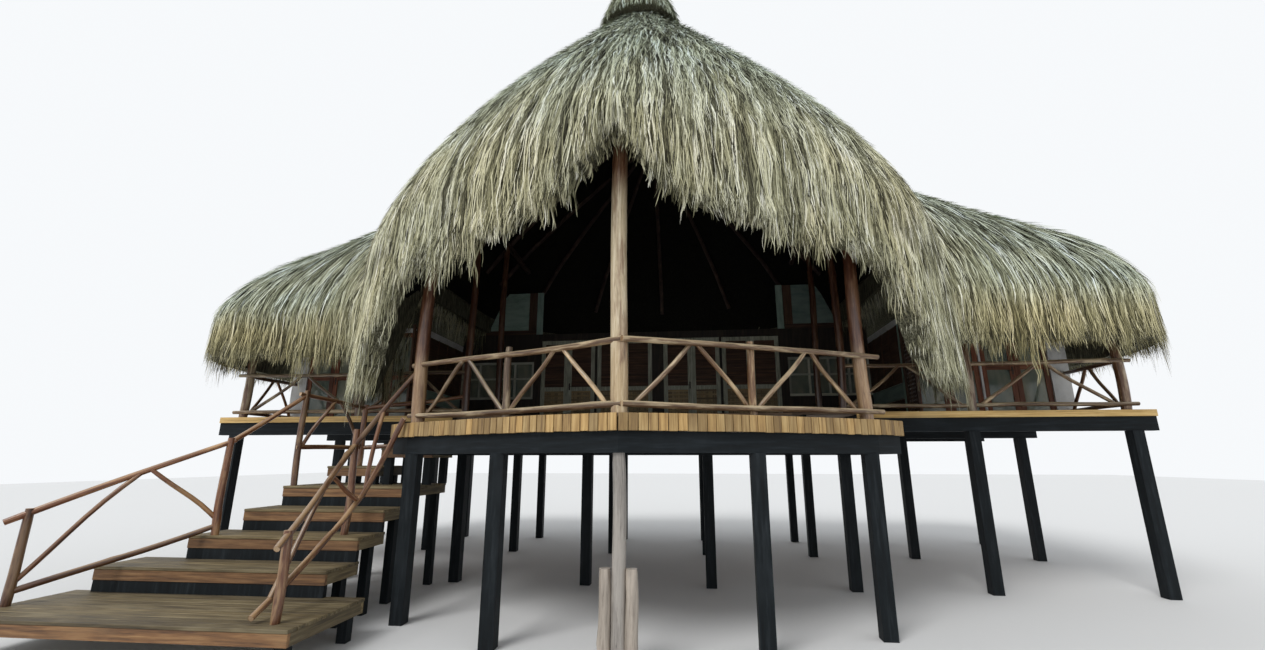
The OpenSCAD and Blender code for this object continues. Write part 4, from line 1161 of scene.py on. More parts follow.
centre = post(0, 0, DECK, plate_height(0, 0, CENTRE_POST), CENTRE_POST, bend=0.006, shade=0.75)
join_logs("centre_post_log", [centre], CENTRE_WOOD, "centre_post")
veranda = []
for side in (-1, 1):
    x, y = PROW_POST
    veranda.append(post(side * x, y, DECK, plate_height(x, y, FRONT_POST), FRONT_POST, bend=0.008, shade=0.5))
    for y in SIDE_POST_YS:
        top = plate_height(SIDE_POST_X, y, SIDE_POST)
        veranda.append(post(side * SIDE_POST_X, y, FLOOR, top, SIDE_POST, bend=0.01, shade=0.3))
join_logs("veranda_post_logs", veranda, FRONT_WOOD, "veranda_posts")
wing = []
for side in (-1, 1):
    wing += [post(side * x, WING_LINE, FLOOR, WING_PLATE, WING_POST, bend=0.01) for x in WING_POST_XS]
    plate = [(side * x, WING_LINE, WING_PLATE) for x in (5.4, 8.39)]
    wing.append(log(*plate, WING_PLATE_THICK, bend=0.004))
join_logs("wing_post_logs", wing, WING_WOOD, "wing_posts")

# %% The stilt under the centre post and its two stubs
STILT_TOP, STUB_TOP, STUB_X = 2.209, 1.0, 0.1453
stubs = [post(0, 0, 0, STILT_TOP, 0.15, bend=0.004, shade=0.6)]
stubs += [post(side * STUB_X, 0, 0, STUB_TOP, 0.14, bend=0.006, shade=0.9) for side in (-1, 1)]
join_logs("centre_stilt_logs", stubs, GREY_LOG, "centre_stilt", end=GREY_LOG)

# %% [markdown]
# ## Railings
# Thin logs are nailed into panels: a handrail, a low rail, and braces that lean together under the handrail.
# One function lays a panel between two posts. The rails run a little way into the posts, as housed joints do.

# %% Railing panels
RAIL, BRACE, STUB = 0.075, 0.06, 0.1
RAIL_TOP, LOW_RAIL = 0.9, 0.07
BRACE_FOOT, BRACE_HEAD = 0.07, 0.045
PANEL_BACK = 5.4


def railing(a, b, bays, over=(0.05, 0.05), out=((0, 0, 0), (0, 0, 0))):
    """Logs of one panel. The rails may start and end a little outwards, to pass in front of a post."""
    a, b, out = np.array(a, float), np.array(b, float), np.array(out, float)
    length = np.linalg.norm(b - a)
    u, step = (b - a) / length, (b - a) / bays
    low = np.array([0, 0, LOW_RAIL + RAIL / 2])
    high = np.array([0, 0, RAIL_TOP - RAIL / 2])
    ends = [a - u * over[0] + out[0], b + u * over[1] + out[1]]
    logs = [log(ends[0] + high, ends[1] + high, RAIL, bend=0.006)]
    logs.append(log(ends[0] + low, ends[1] + low, RAIL, bend=0.005))
    for i in range(bays):
        left, middle, right = a + step * i, a + step * (i + 0.5) + out.mean(0) * 0.7, a + step * (i + 1)
        logs.append(log(left + low + u * BRACE_FOOT, middle + high - u * BRACE_HEAD, BRACE, bend=0.02))
        logs.append(log(right + low - u * BRACE_FOOT, middle + high + u * BRACE_HEAD, BRACE, bend=0.02))
        if i:
            logs.append(log(left, left + np.array([0, 0, RAIL_TOP + 0.06]), STUB, bend=0.01))
    return logs


def wing_panel(side, x0, x1, **more):
    return railing((side * x0, WING_LINE, FLOOR), (side * x1, WING_LINE, FLOOR), 1, **more)


for side, word in ((1, "right"), (-1, "left")):
    a, b = np.array([0, 0, DECK]), np.array([side * PROW_POST[0], PROW_POST[1], DECK])
    u = (b - a) / np.linalg.norm(b - a)
    aside = np.array([u[1], -abs(u[0]), 0])
    prow = railing(a + u * 0.105, b - u * 0.0925, 2, over=(0.1, 0.3), out=(aside * 0.10, aside * 0.085))
    join_logs(f"prow_railing_{word}_logs", prow, RAIL_WOOD, f"prow_railing_{word}")
    inner, outer = WING_POST_XS
    near = wing_panel(side, SIDE_POST_X + 0.07, inner - 0.075)
    far = wing_panel(side, inner + 0.075, outer - 0.075, over=(0.05, 0.24), out=((0, 0, 0), (0, -0.07, 0)))
    join_logs(f"{word}_wing_railing_logs", near + far, RAIL_WOOD, f"{word}_wing_railing")
    corner, back = (side * outer, WING_LINE + 0.075, FLOOR), (side * outer, PANEL_BACK, FLOOR)
    across = railing(corner, back, 1, over=(0.05, 0.0))
    join_logs(f"{word}_end_railing_logs", across, REDWOOD, f"{word}_end_railing")

# %% Places on the stair
RISER = 0.314


def level(k):
    """The height of the tread that lies 7 - k risers below the prow's deck."""
    return DECK - RISER * (7 - k)


def spot(p, up):
    """A place beside tread p[2], a little above it."""
    return np.array([p[0], p[1], level(p[2]) + up])


def head(p, down):
    """A place on a stair post, below its top. A post is given by x, y, its tread and its length."""
    return spot(p, p[3] - down)


def along(a, b, t):
    return np.array(a) + (np.array(b) - np.array(a)) * t


def laid(pairs, thick, bend):
    return [log(a, b, thick, bend=bend) for a, b in pairs]


print("heights of the treads:", [round(level(k), 3) for k in range(7)])

# %% The stair's right railing
RIGHT_FOOT, RIGHT_MID = (-3.609, -0.35, 0, 0.93), (-4.217, 1.6, 2, 1.5)
SKIRT = [np.array(p) for p in ((-3.3, 1.27, 2.71), (-3.95, 1.48, level(3) + 0.21),
                               (-3.94, 0.9, level(1) + 0.43), (-3.83, -0.43, level(0) + 0.062))]
landing_post = np.array([-PROW_POST[0], PROW_POST[1], DECK + RAIL_TOP - RAIL / 2])
high, low = head(RIGHT_MID, 0.24), head(RIGHT_FOOT, 0.04)
right = [log(spot(p, 0), head(p, 0), STUB, bend=0.012) for p in (RIGHT_MID, RIGHT_FOOT)]
right += [log(high, landing_post, RAIL, bend=0.01)]
right += [log(along(high, low, -0.04), along(high, low, 1.12), RAIL, bend=0.008)]
right += [log(SKIRT[0], SKIRT[1], RAIL)]
right += [log(along(SKIRT[1], SKIRT[2], -0.1), along(SKIRT[1], SKIRT[2], 1.05), RAIL)]
right += [log(SKIRT[2], SKIRT[3], RAIL)]
right += laid([
    (along(SKIRT[1], SKIRT[2], 0.1), along(high, low, 0.42)),
    (along(SKIRT[2], SKIRT[3], 0.8), along(high, low, 0.48)),
    (along(SKIRT[0], SKIRT[1], 0.9), along(high, landing_post, 0.42)),
], BRACE, 0.02)
join_logs("stair_right_railing_logs", right, REDWOOD, "stair_right_railing")

# %% The stair's left railing
LEFT_FOOT, LEFT_LOW = (-7.3, -0.05, 0, 1.1), (-6.06, 1.38, 2, 1.37)
LEFT_MID, LEFT_TOP = (-5.875, 2.6, 4, 1.6), (-5.44, 3.7, 5, 1.14)
inner_post = np.array([-SIDE_POST_X, WING_LINE, FLOOR + 0.39])
deck_side = np.array([-3.79, 3.8145, level(6) + 0.135])
foot, low, mid, top = head(LEFT_FOOT, 0.06), head(LEFT_LOW, 0.06), head(LEFT_MID, 0.08), head(LEFT_TOP, 0.06)
kick_a, kick_b = spot(LEFT_MID, 0.63), spot(LEFT_TOP, 0.33)
left = [log(spot(p, 0), head(p, 0), STUB, bend=0.012) for p in (LEFT_FOOT, LEFT_LOW, LEFT_MID, LEFT_TOP)]
left += laid([
    (along(foot, low, -0.1), along(foot, low, 1.03)),
    (low, mid),
    (along(mid, top, -0.1), top),
    (along(kick_a, kick_b, -0.05), kick_b),
    (top, inner_post),
    (kick_b, deck_side),
    (spot(LEFT_FOOT, 0.15), spot(LEFT_LOW, 0.13)),
], RAIL, 0.008)
left += laid([
    (kick_a + (0, 0.06, 0.03), along(mid, top, 0.46)),
    (kick_b + (0, -0.06, 0.03), along(mid, top, 0.54)),
    (spot(LEFT_FOOT, 0.23), along(foot, low, 0.5)),
    (spot(LEFT_LOW, 0.2), along(foot, low, 0.56)),
], BRACE, 0.02)
join_logs("stair_left_railing_logs", left, REDWOOD, "stair_left_railing")

# %% [markdown]
# ## Decks and stair
# The floors are single boards with narrow gaps, laid across the joists. The prow's boards end at its slanting
# edge, and short upright planks close that edge. Each tread of the stair is a frame of deep boards with a
# boarded top.

# %% The prow's deck
BOARD_GAP, BOARD_THICK, BOARD_WIDE = 0.006, 0.04, 0.14
PROW_FRONT, PROW_BACK = -0.13, 3.84
PROW_Y = np.array([PROW_FRONT, 0.17, 0.66, 1.36, 1.7, PROW_BACK])
PROW_X = np.array([0.03, 1.0, 2.0, 3.3, 3.7, 3.7])


def prow_half(y):
    return np.interp(y, PROW_Y, PROW_X)


def rows_between(low, high, wanted):
    """Evenly wide boards between two lines, with a gap between each two."""
    count = max(1, round((high - low) / wanted))
    edges = np.linspace(low, high, count + 1)
    return [(a + BOARD_GAP / 2, b - BOARD_GAP / 2) for a, b in zip(edges[:-1], edges[1:])]


def fit_prow(half):
    """Cuts a board's ends to the slanting edge of the prow."""
    return lambda p: np.stack([p[:, 0] * prow_half(p[:, 1]) / half, p[:, 1], p[:, 2]], 1)


copies = []
for y0, y1 in rows_between(PROW_FRONT, PROW_BACK, BOARD_WIDE):
    half = prow_half((y0 + y1) / 2)
    joint = random.uniform(-0.4, 0.4) * half
    for x0, x1 in ((-half, joint - 0.002), (joint + 0.002, half)):
        copies.append(board((x0, y0, DECK - BOARD_THICK), (x1, y1, DECK), slant=fit_prow(half)))
join("prow_deck_boards", copies, [DECKING], replaces=["prow_deck"])

# %% The main floor and the wings' decks
HALL_SIDE, DECK_SIDE, WING_END = 5.3, 5.3003, 8.65
FLOOR_FRONT, FLOOR_BACK = 3.89, 9.6


def floor_boards(x0, x1, lengths):
    """Boards in so many lengths, with staggered joints."""
    made = []
    for k, (y0, y1) in enumerate(rows_between(FLOOR_FRONT, FLOOR_BACK, BOARD_WIDE)):
        shift = (k % 2) * 0.5
        cuts = [x0] + [x0 + (x1 - x0) * (i + shift) / lengths for i in range(lengths + 1)] + [x1]
        cuts = sorted({round(min(max(c, x0), x1), 4) for c in cuts})
        for a, b in zip(cuts[:-1], cuts[1:]):
            made.append(board((a + 0.001, y0, FLOOR - BOARD_THICK), (b - 0.001, y1, FLOOR)))
    return made


join("main_floor_boards", floor_boards(-HALL_SIDE, HALL_SIDE, 4), [DECKING], replaces=["main_floor"])
join("right_wing_deck_boards", floor_boards(DECK_SIDE, WING_END, 1), [DECKING], replaces=["right_wing_deck"])
join("left_wing_deck_boards", floor_boards(-WING_END, -DECK_SIDE, 1), [DECKING], replaces=["left_wing_deck"])

# %% The prow's fascia
PLANK_WIDE, PLANK_TALL, PLANK_THICK = 0.112, 0.2, 0.029


def along_edge(corner, u, out):
    """Lays what is built along x onto an edge that starts at the corner and runs along u."""
    def place(p):
        x = corner[0] + p[:, 0] * u[0] + p[:, 1] * out[0]
        y = corner[1] + p[:, 0] * u[1] + p[:, 1] * out[1]
        return np.stack([x, y, p[:, 2]], 1)

    return place


copies = []
edge = [(-3.7, 3.74), (-3.7, 1.7), (-3.3, 1.36), (-2.0, 0.66), (-1.0, 0.17), (0.0, -0.13)]
edge += [(-x, y) for x, y in edge[-2::-1]]
for (ax, ay), (bx, by) in zip(edge[:-1], edge[1:]):
    run = np.array([bx - ax, by - ay])
    length = np.linalg.norm(run)
    u = run / length
    place = along_edge((ax, ay), u, (u[1], -u[0]))
    for s0, s1 in rows_between(0, length, PLANK_WIDE):
        foot = DECK - PLANK_TALL + random.uniform(-0.004, 0.004)
        face = PLANK_THICK + random.uniform(0, 0.003)
        copies.append(board((s0 + 0.0015, 0.0005, foot), (s1 - 0.0015, face, DECK), slant=place))
join("prow_fascia_planks", copies, [FASCIA], replaces=["prow_fascia"])

# %% Treads
FRONTS = (-0.55, 0.68, 1.29, 1.87, 2.5, 3.0, 3.0)
LEFTS = (-7.4, -7.1, -6.4, -6.1, -6.0, -5.6, -4.63)
RIGHTS = (-3.3, -3.8, -3.8, -3.8, -3.76, -4.64, -3.6703)
STEP_BACK, OVERLAP = 3.85, 0.11
TREAD_THICK, TREAD_WIDE = 0.038, 0.145
FRAME_TALL, FRAME_TOP, JOIST_THICK, JOIST_STEP = 0.17, 0.0385, 0.046, 0.9


def step_boards(k):
    """One tread: its top boards, the board at its back, and the short joists between front and back."""
    x0, x1, y0 = LEFTS[k], RIGHTS[k], FRONTS[k]
    y1 = FRONTS[k + 1] + OVERLAP if k < 4 else STEP_BACK
    top = level(k)
    made = []
    for a, b in rows_between(y0, y1, TREAD_WIDE):
        start, end = x0 + random.uniform(0, 0.012), x1 - random.uniform(0, 0.012)
        made.append(board((start, a, top - TREAD_THICK), (end, b, top), worn=0.005))
    low, high = top - FRAME_TALL, top - FRAME_TOP
    made.append(board((x0 + 0.01, y1 - 0.06, low), (x1 - 0.01, y1 - 0.014, high)))
    count = max(2, round((x1 - x0) / JOIST_STEP) + 1)
    for i in range(count):
        x = x0 + 0.012 + (x1 - x0 - 0.07) * i / (count - 1)
        made.append(board((x, y0 + 0.0585, low), (x + JOIST_THICK, y1 - 0.0605, high)))
    return made


def front_board(k):
    x0, x1, y0, top = LEFTS[k], RIGHTS[k], FRONTS[k], level(k)
    return board((x0 + 0.01, y0 + 0.012, top - FRAME_TALL), (x1 - 0.01, y0 + 0.058, top - FRAME_TOP))


join("stair_front_boards", [front_board(k) for k in range(7)], [FRONT_BOARDS])
for name, steps, node in (("stair_landing_boards", (0,), "stair_landing"),
                          ("lower_step_boards", (1, 2, 3), "lower_steps"),
                          ("upper_landing_boards", (4,), "upper_landing"),
                          ("upper_step_boards", (5, 6), "upper_steps")):
    join(name, sum([step_boards(k) for k in steps], []), [TREADS], replaces=[node])

# %% [markdown]
# ## Finishes of the solids that stay
# Beams, stilts and walls already have their true shape, so they keep it and get a finish. These finishes read
# the place in the object, because a solid has no grain of its own: the streaks simply run up, or along the
# beams.

# %% Tar, honey boards and walls
def solid_finish(name, dark, middle, light, scale=(18, 18, 1.6), roughness=0.7, depth=0.003, wear=0.3,
                 shine=0.5):
    """Streaks through the whole solid, stretched along one axis, and lighter worn patches."""
    f = Finish(name, roughness=roughness, Specular_IOR_Level=shine)
    lines = f.noise(scale, detail=6, roughness=0.65)
    patches = f.noise((1.4, 1.4, 1.1), detail=4)
    colour = f.ramp(lines, (0.3, dark), (0.52, middle), (0.75, light))
    colour = f.mix(patches.above(0.5, 0.7) * wear, colour, light)
    return f.paint(colour, roughness=lines * 0.3 + (roughness - 0.15), height=lines, depth=depth)


TAR_UP = solid_finish("tarred_stilts", (0.002, 0.003, 0.004), (0.006, 0.009, 0.011), (0.024, 0.029, 0.033),
                      shine=0.2)
TAR_ALONG = solid_finish("tarred_beams", (0.002, 0.003, 0.004), (0.006, 0.009, 0.011), (0.02, 0.025, 0.03),
                         scale=(1.5, 1.5, 20), shine=0.2)
HONEY = solid_finish("honey_edge_boards", (0.30, 0.165, 0.055), (0.68, 0.44, 0.155), (0.88, 0.65, 0.31),
                     scale=(1.2, 1.2, 34))
# The poles inside the roof are painted nearly black, as the shade under the thatch.
POLES = solid_finish("roof_poles_in_painted_shade", (0.02, 0.011, 0.008), (0.05, 0.026, 0.017), (0.11, 0.062, 0.042),
                     scale=(7, 7, 5))
DARK_WALL = solid_finish("dark_boarded_wall", (0.012, 0.009, 0.007), (0.03, 0.022, 0.016),
                         (0.07, 0.05, 0.035))
PLASTER = solid_finish("white_plaster", (0.72, 0.72, 0.70), (0.84, 0.84, 0.82), (0.90, 0.90, 0.88),
                       scale=(5, 5, 4), roughness=0.9, depth=0.002, wear=0.2)
PAINT = solid_finish("worn_white_paint", (0.22, 0.22, 0.16), (0.48, 0.49, 0.38), (0.68, 0.69, 0.58),
                     scale=(30, 30, 3), roughness=0.65)


# %% Glass
def glass_finish():
    """Panes with a little dust. They mirror much of the sky, so only part of the light passes them."""
    f = Finish("clear_panes", roughness=0.06, Transmission_Weight=0.6, IOR=1.45)
    dust = f.noise((3, 3, 1.2), detail=4)
    colour = f.ramp(dust, (0.35, (0.36, 0.44, 0.38)), (0.65, (0.74, 0.74, 0.58)))
    return f.paint(colour, roughness=dust * 0.12 + 0.02)


GLASS = glass_finish()

# %% Which solid gets which finish
DRESSED = (
    (TAR_UP, ("hall_stilts", "wing_stilts", "stair_stilts")),
    (TAR_ALONG, ("prow_beams", "floor_beams")),
    (HONEY, ("deck_fascias",)),
    (POLES, ("main_roof_frame", "left_wing_roof_frame", "right_wing_roof_frame")),
    (DARK_WALL, ("hall_front_wall",)),
    (PLASTER, ("hall_back_wall", "left_room_walls", "right_room_walls")),
    (PAINT, tuple(f"hall_door_{i}" for i in range(1, 9))),
    (GLASS, ("hall_windows", "left_room_windows", "right_room_windows")),
)
for material, nodes in DRESSED:
    for node in nodes:
        dress(node, material)
    print(material.name, "on", len(nodes), "solids")

# %% [markdown]
# ## Doors
# The hall's doors are framed leaves: tilted slats above the middle rail and a mat of woven cane below it.
# The wing rooms have glazed leaves in red-brown frames. All that is on a leaf rides on that leaf's body and
# swings with it. The left half of the house mirrors the right one, so the copies are made at the right and
# flipped.

# %% Joinery finishes
CANE = timber_finish("woven_cane", (0.14, 0.09, 0.045), (0.34, 0.25, 0.13), (0.52, 0.42, 0.25), across=40)
SLATS = timber_finish("white_slats", (0.30, 0.30, 0.25), (0.56, 0.57, 0.49), (0.74, 0.75, 0.67))
LOUVRES = timber_finish("dark_louvres", (0.03, 0.016, 0.010), (0.10, 0.05, 0.03), (0.20, 0.115, 0.07))
# The panels are white, painted dim teal as white in the blue shade under the roof.
PANELS = timber_finish("white_panels_in_painted_shade", (0.16, 0.26, 0.23), (0.30, 0.42, 0.38), (0.40, 0.52, 0.48),
                       across=8, wear=0.2)
HANDLES = timber_finish("dark_handles", (0.02, 0.014, 0.01), (0.05, 0.034, 0.024), (0.11, 0.08, 0.06),
                        roughness=0.4)
FRAME = timber_finish("red_door_frames", (0.11, 0.035, 0.018), (0.24, 0.085, 0.042), (0.36, 0.16, 0.085),
                      wear=0.15)
print("joinery finishes:", [m.name for m in (CANE, SLATS, LOUVRES, PANELS, HANDLES, FRAME)])


# %% Helpers for both kinds of door
def flip(copies, mirror):
    """The same copies at the other side of the house, with their faces turned to point outwards again."""
    if not mirror:
        return copies
    return [c._replace(points=c.points * (-1, 1, 1), faces=[f[::-1] for f in c.faces]) for c in copies]


def door_handle(edge_x, front, height, half_wide, half_tall):
    """A plate, a neck and a lever that points back over the leaf."""
    low = (edge_x - half_wide, front - 0.006, height - half_tall)
    high = (edge_x + half_wide, front, height + half_tall)
    plate = board(low, high, worn=0.002)
    neck = log((edge_x, front - 0.002, height), (edge_x, front - 0.045, height), 0.016, bend=0, knots=0)
    lever_y = front - 0.042
    lever = log((edge_x + 0.008, lever_y, height), (edge_x - 0.11, lever_y, height), 0.014, bend=0, knots=0)
    return [plate, neck, lever]


# %% Louvred leaves
DOOR_GAP, GROUP_GAP, PIER_HALF = 0.006, 0.06, 0.15
LEAF = 0.715
PAIR = 2 * LEAF + 3 * DOOR_GAP
DOOR_FOOT = FLOOR + 0.0063
LEAF_FRONT = 7.6275
STILE = 0.1
SLAT_COUNT, SLAT_STEP, SLAT_TALL, SLAT_THICK, SLAT_FOOT = 25, 0.0455, 0.05, 0.005, 1.012
CANE_UPRIGHTS, CANE_ROWS, CANE_WIDE, CANE_THICK = 10, 15, 0.044, 0.003
CANE_FOOT, CANE_TOP = 0.142, 0.908


def leaf_left(i):
    """The left edge of the leaf that is number i from the middle of the hall, at the right half."""
    return PIER_HALF + (i // 2) * (PAIR + GROUP_GAP) + DOOR_GAP + (i % 2) * (LEAF + DOOR_GAP)


def tilt(z0, outwards):
    """Leans a slat's lower edge out of the leaf."""
    def lean(p):
        below_top = 1 - (p[:, 2] - z0) / SLAT_TALL
        return np.stack([p[:, 0], p[:, 1] + outwards * below_top * 0.008, p[:, 2]], 1)

    return lean


def slats_on(x0, x1, face, outwards):
    made = []
    for k in range(SLAT_COUNT):
        z = DOOR_FOOT + SLAT_FOOT + k * SLAT_STEP
        made.append(board((x0, face, z), (x1, face + SLAT_THICK, z + SLAT_TALL), worn=0.0015,
                          slant=tilt(z, outwards)))
    return made


def cane_on(x0, x1, face, outwards):
    """Flat canes upright, and others across them that pass in front and behind in turn."""
    made = []
    for k in range(CANE_UPRIGHTS):
        x = x0 + 0.004 + k * 0.0508
        foot = (x, face + 0.002, DOOR_FOOT + CANE_FOOT)
        made.append(board(foot, (x + CANE_WIDE, face + 0.005, DOOR_FOOT + CANE_TOP), worn=0.001))
    for k in range(CANE_ROWS):
        z = DOOR_FOOT + 0.144 + k * 0.051
        near = face + 0.001 + 0.0025 * outwards * (-1) ** k
        made.append(board((x0, near, z), (x1, near + CANE_THICK, z + CANE_WIDE), worn=0.001))
    return made


for number in range(1, 9):
    i = number - 5 if number > 4 else 4 - number
    mirror, x0 = number < 5, leaf_left(i) + STILE
    x1 = x0 + LEAF - 2 * STILE
    slats, mat = [], []
    for face, outwards in ((LEAF_FRONT + 0.0095, -1), (LEAF_FRONT + 0.0305, 1)):
        slats += slats_on(x0, x1, face, outwards)
        mat += cane_on(x0, x1, face, outwards)
    body = f"hall_door_{number}"
    join(f"{body}_slats", flip(slats, mirror), [LOUVRES], body=body)
    join(f"{body}_cane_mat", flip(mat, mirror), [CANE], body=body)
    if i % 2 == 0:
        handle = door_handle(leaf_left(i) + LEAF - 0.05, LEAF_FRONT, DOOR_FOOT + 1.02, 0.018, 0.09)
        join(f"{body}_handle", flip(handle, mirror), [HANDLES], body=body, smooth=40)

# %% Glazed leaves
ROOM_FRONT, GLASS_LEAF, FRAME_THICK = 5.4275, 0.64, 0.045
GLASS_TALL, GLASS_MIDDLE = 2.04, 1.0
FIXED_TALL, FIXED_DROP, FIXED_LEAVES = 2.045, 0.006, ((5.441, 6.083), (6.087, 6.729))
HINGE_HEIGHTS, HINGE_HALF, HINGE_THICK = (0.2, 1.0, 1.84), 0.05, 0.0105
REBATE, PANE_HEIGHTS = 0.095, ((0.095, 0.955), (1.045, 1.945))


def leaf_frame(x0, x1, height=GLASS_TALL):
    """Two stiles and three rails. The rails lie 2 mm behind the stiles' faces."""
    z0, near, far = DOOR_FOOT, ROOM_FRONT, ROOM_FRONT + FRAME_THICK
    made = [board((x, near, z0), (x + STILE, far, z0 + height)) for x in (x0, x1 - STILE)]
    middle = (GLASS_MIDDLE - STILE / 2, GLASS_MIDDLE + STILE / 2)
    for low, high in ((0, STILE), middle, (height - STILE, height)):
        made.append(board((x0 + STILE, near + 0.002, z0 + low), (x1 - STILE, far - 0.002, z0 + high)))
    return made


def hinge_pins(x):
    made = []
    for z in HINGE_HEIGHTS:
        foot, top = DOOR_FOOT + z - HINGE_HALF, DOOR_FOOT + z + HINGE_HALF
        made.append(log((x, ROOM_FRONT, foot), (x, ROOM_FRONT, top), HINGE_THICK, bend=0, knots=0))
    return made


def leaf_panes(x0, x1):
    made = []
    for a, b in PANE_HEIGHTS:
        near, far = ROOM_FRONT + 0.0185, ROOM_FRONT + 0.0265
        made.append(board((x0 + REBATE, near, DOOR_FOOT + a), (x1 - REBATE, far, DOOR_FOOT + b), worn=0.001))
    return made


DOOR_LEFT = HALL_SIDE + 0.1 + 0.04 + 2 * (GLASS_LEAF + DOOR_GAP) + 0.04
for side, mirror in (("right", False), ("left", True)):
    for k, name in enumerate(("inner", "outer")):
        x0 = DOOR_LEFT + DOOR_GAP + k * (GLASS_LEAF + DOOR_GAP)
        x1 = x0 + GLASS_LEAF
        body = f"{side}_room_door_{name}"
        wood = leaf_frame(x0, x1) + hinge_pins(x0 if k == 0 else x1)
        join(f"{body}_frame", flip(wood, mirror), [FRAME], body=body, replaces=[body])
        join(f"{body}_panes", flip(leaf_panes(x0, x1), mirror), [GLASS], body=body)
        if k == 0:
            handle = door_handle(x1 - 0.05, ROOM_FRONT, DOOR_FOOT + 0.93, 0.016, 0.08)
            join(f"{body}_handle", flip(handle, mirror), [HANDLES], body=body, smooth=40)
    fixed = sum([leaf_frame(*edges, height=FIXED_TALL) for edges in FIXED_LEAVES], [])
    fixed = [c._replace(points=c.points + (0, 0, -FIXED_DROP)) for c in fixed]
    join(f"{side}_room_window_frames", flip(fixed, mirror), [FRAME])

# %% [markdown]
# ## The ends of the hall's front
# Beside the louvred doors the wall is a patchwork: a low mat of cane, a pale panel, a window with a light
# frame, and above it boards that the slope of the roof cuts off. A lattice and dark boards close the
# veranda's sides. They are all boards again, laid on the faces of the wall and of the wings' rooms.

# %% The trim of the hall's windows
WALL_FACE, PANE_FACE, TRIM_FRONT = 7.6495, 7.6485, 7.612
WINDOW_LEFT, WINDOW_RIGHT = PIER_HALF + 2 * PAIR + GROUP_GAP + 0.2, HALL_SIDE
SILL, LINTEL = FLOOR + 0.76, FLOOR + 1.7
EAVE_BOARDS = (DECK + 2.9, DECK + 3.95)


def window_trim():
    right, middle = WINDOW_RIGHT - 0.001, (SILL + LINTEL) / 2
    trim = [board((WINDOW_LEFT, 7.59, SILL - 0.05), (right, WALL_FACE, SILL + 0.01))]
    trim.append(board((WINDOW_LEFT, 7.61, LINTEL - 0.06), (right, WALL_FACE, LINTEL)))
    for x in np.linspace(WINDOW_LEFT, WINDOW_RIGHT - 0.06, 5):
        trim.append(board((x, TRIM_FRONT, SILL + 0.01), (x + 0.055, PANE_FACE, LINTEL - 0.06)))
    trim.append(board((WINDOW_LEFT, TRIM_FRONT, middle), (right, PANE_FACE, middle + 0.045)))
    return trim


# %% Panels and mats beside the doors
SIDE_FACE, SIDE_FRONT, SIDE_BACK = 5.2995, 5.62, 7.56
CORNER_TOP = DECK + 2.3


def under_slope(p):
    """The roof cuts the panel's outer edge."""
    cut = np.where(p[:, 0] > 4.2, (p[:, 2] - EAVE_BOARDS[0]) / 1.05 * 0.45, 0)
    return p - np.stack([cut, 0 * cut, 0 * cut], 1)


def wall_panels():
    """A jamb, the sloping panel at the eaves, the panel under the window, and two at the veranda's side."""
    jamb = WINDOW_LEFT - 0.19
    return [board((jamb, 7.63, FLOOR + 0.01), (jamb + 0.17, WALL_FACE, EAVE_BOARDS[1])),
            board((3.52, 7.655, EAVE_BOARDS[0]), (4.62, 7.685, EAVE_BOARDS[1]), slant=under_slope),
            board((WINDOW_LEFT, 7.62, FLOOR + 0.42), (WINDOW_RIGHT - 0.01, WALL_FACE, SILL - 0.052)),
            board((5.275, SIDE_FRONT, FLOOR + 0.42), (SIDE_FACE, SIDE_BACK, FLOOR + 0.74)),
            board((5.27, 5.46, FLOOR + 0.01), (SIDE_FACE, 5.6, CORNER_TOP))]


def wall_mat():
    mat = []
    for k in range(40):
        x = WINDOW_LEFT + k * 0.0495
        mat.append(board((x + 0.01, 7.635, FLOOR + 0.02), (x + 0.055, WALL_FACE, FLOOR + 0.41), worn=0.002))
    return mat


# %% Dark boards and the lattice at the veranda's sides
WALL_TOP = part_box("hall_front_wall")[1][2]
SCREEN_POSTS, LATTICE_POSTS = (5.62, 6.1, 6.58, 7.06, 7.5), (4.86, 5.37)


def dark_boards():
    """Boards over the wall and at its outer end, and two that line the veranda's side."""
    return [board((3.3, 7.65, WALL_TOP - 0.1), (4.75, 7.7, DECK + 2.895)),
            board((3.3, 7.65, EAVE_BOARDS[0]), (3.515, 7.7, EAVE_BOARDS[1])),
            board((5.28, SIDE_FRONT, FLOOR + 0.75), (SIDE_FACE, SIDE_BACK, CORNER_TOP)),
            board((5.28, SIDE_FRONT, FLOOR + 0.01), (SIDE_FACE, SIDE_BACK, FLOOR + 0.41))]


def lattice():
    """Battens on the dark boards, then two posts with upright laths and cross laths behind them."""
    made = [board((5.262, y, FLOOR + 0.75), (5.279, y + 0.05, CORNER_TOP)) for y in SCREEN_POSTS]
    made += [board((5.24, y, FLOOR), (5.29, y + 0.05, FLOOR + 2.1)) for y in LATTICE_POSTS]
    for k in range(7):
        y = 0.0657 * k
        made.append(board((5.255, 4.9105 + y, FLOOR + 0.1), (5.263, 4.9505 + y, FLOOR + 2.05), worn=0.001))
    for k in range(25):
        z = 0.08 * k
        made.append(board((5.2635, 4.91, FLOOR + 0.1 + z), (5.2715, 5.37, FLOOR + 0.145 + z), worn=0.001))
    return made


for side, mirror in (("right", False), ("left", True)):
    join(f"{side}_hall_window_trim", flip(window_trim(), mirror), [SLATS])
    join(f"{side}_hall_wall_panels", flip(wall_panels(), mirror), [PANELS])
    join(f"{side}_veranda_screens", flip(dark_boards() + lattice(), mirror), [LOUVRES])
    join(f"{side}_hall_wall_mat", flip(wall_mat(), mirror), [CANE])

# %% [markdown]
# ## Floor, sky and lamp
# The house stands on a pale floor under an even, pale sky, so that its colours render about as they are
# written. The sky that lights the house is weaker than the sky that is seen: Light Path tells which rays come
# from the camera, from gloss or through glass, and those see the brighter one. One soft lamp gives the
# shadows a side.

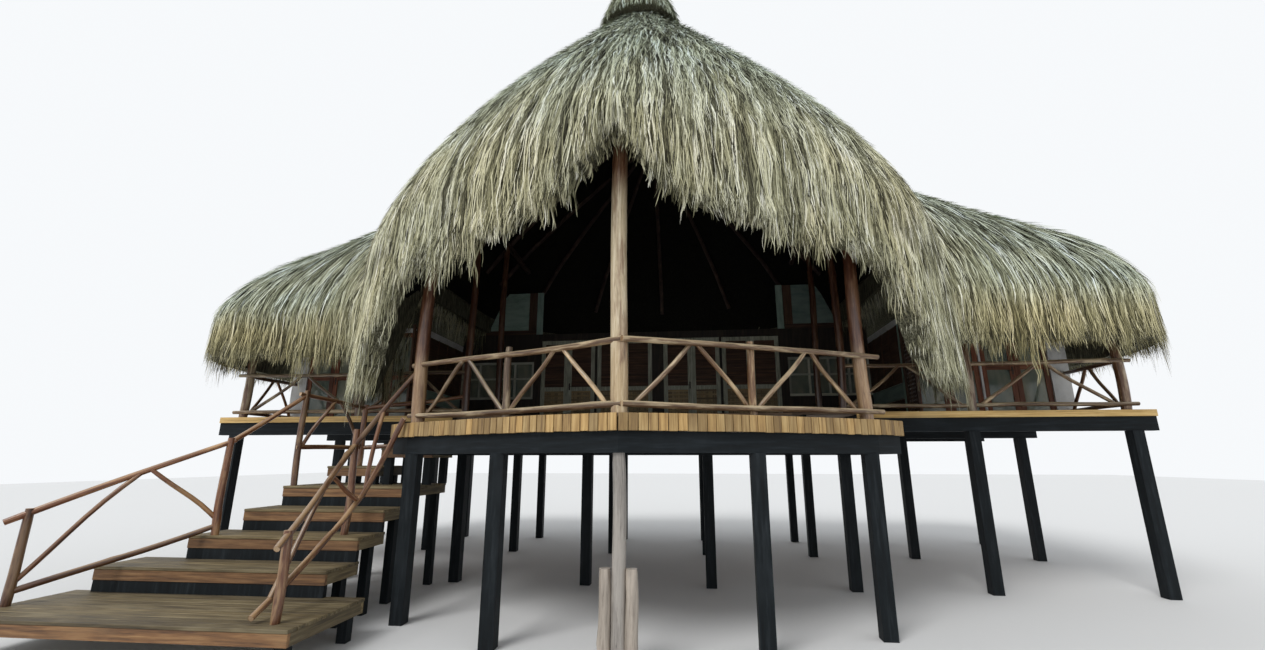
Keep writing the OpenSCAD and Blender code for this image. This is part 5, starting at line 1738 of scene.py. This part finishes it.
# %% Floor
clear_selection()
bpy.ops.mesh.primitive_plane_add(size=120, location=(0, 20, -0.002))
floor = bpy.context.object
floor.name = "studio_floor"
floor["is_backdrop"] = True
ground = Finish("pale_floor", roughness=0.9)
ground.shader.inputs["Base Color"].default_value = (0.72, 0.72, 0.71, 1)
floor.data.materials.append(ground.material)
print("floor:", floor.name, "material:", ground.material.name)

# %% Sky
world = bpy.data.worlds.new("soft_sky")
bpy.context.scene.world = world
world.use_nodes = True
tree = world.node_tree
light_sky = tree.nodes["Background"]
light_sky.inputs["Color"].default_value = (0.93, 0.96, 1.0, 1)
light_sky.inputs["Strength"].default_value = 0.75
seen_sky = tree.nodes.new("ShaderNodeBackground")
seen_sky.inputs["Color"].default_value = (0.93, 0.95, 0.97, 1)
path = tree.nodes.new("ShaderNodeLightPath")
blend = tree.nodes.new("ShaderNodeMixShader")
seen = path.outputs["Is Camera Ray"]
for ray in ("Is Glossy Ray", "Is Transmission Ray"):
    either = tree.nodes.new("ShaderNodeMath")
    either.operation = "MAXIMUM"
    tree.links.new(seen, either.inputs[0])
    tree.links.new(path.outputs[ray], either.inputs[1])
    seen = either.outputs[0]
tree.links.new(seen, blend.inputs[0])
tree.links.new(light_sky.outputs[0], blend.inputs[1])
tree.links.new(seen_sky.outputs[0], blend.inputs[2])
tree.links.new(blend.outputs[0], tree.nodes["World Output"].inputs[0])
print("sky nodes:", len(tree.nodes))

# %% Lamp
sun_data = bpy.data.lights.new("soft_lamp", "SUN")
sun_data.energy = 1.6
sun_data.angle = math.radians(25)
sun = put_in_scene("soft_lamp", sun_data)
sun.rotation_euler = (math.radians(42), 0, math.radians(-28))
print("lamp strength:", round(sun_data.energy, 2))

# %% [markdown]
# ## Measure and finish
# The loose grass may stand a little past the solids, and the visual box shows how far. The last cell counts
# the added triangles and prints that box.

# %% Measure and finish
meshes = [o.data for o in bpy.context.scene.objects if o.type == "MESH" and o.name not in NODES]
print("added triangles:", sum(len(m.loops) - 2 * len(m.polygons) for m in meshes))
low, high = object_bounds()
print("visual box:", low, high)
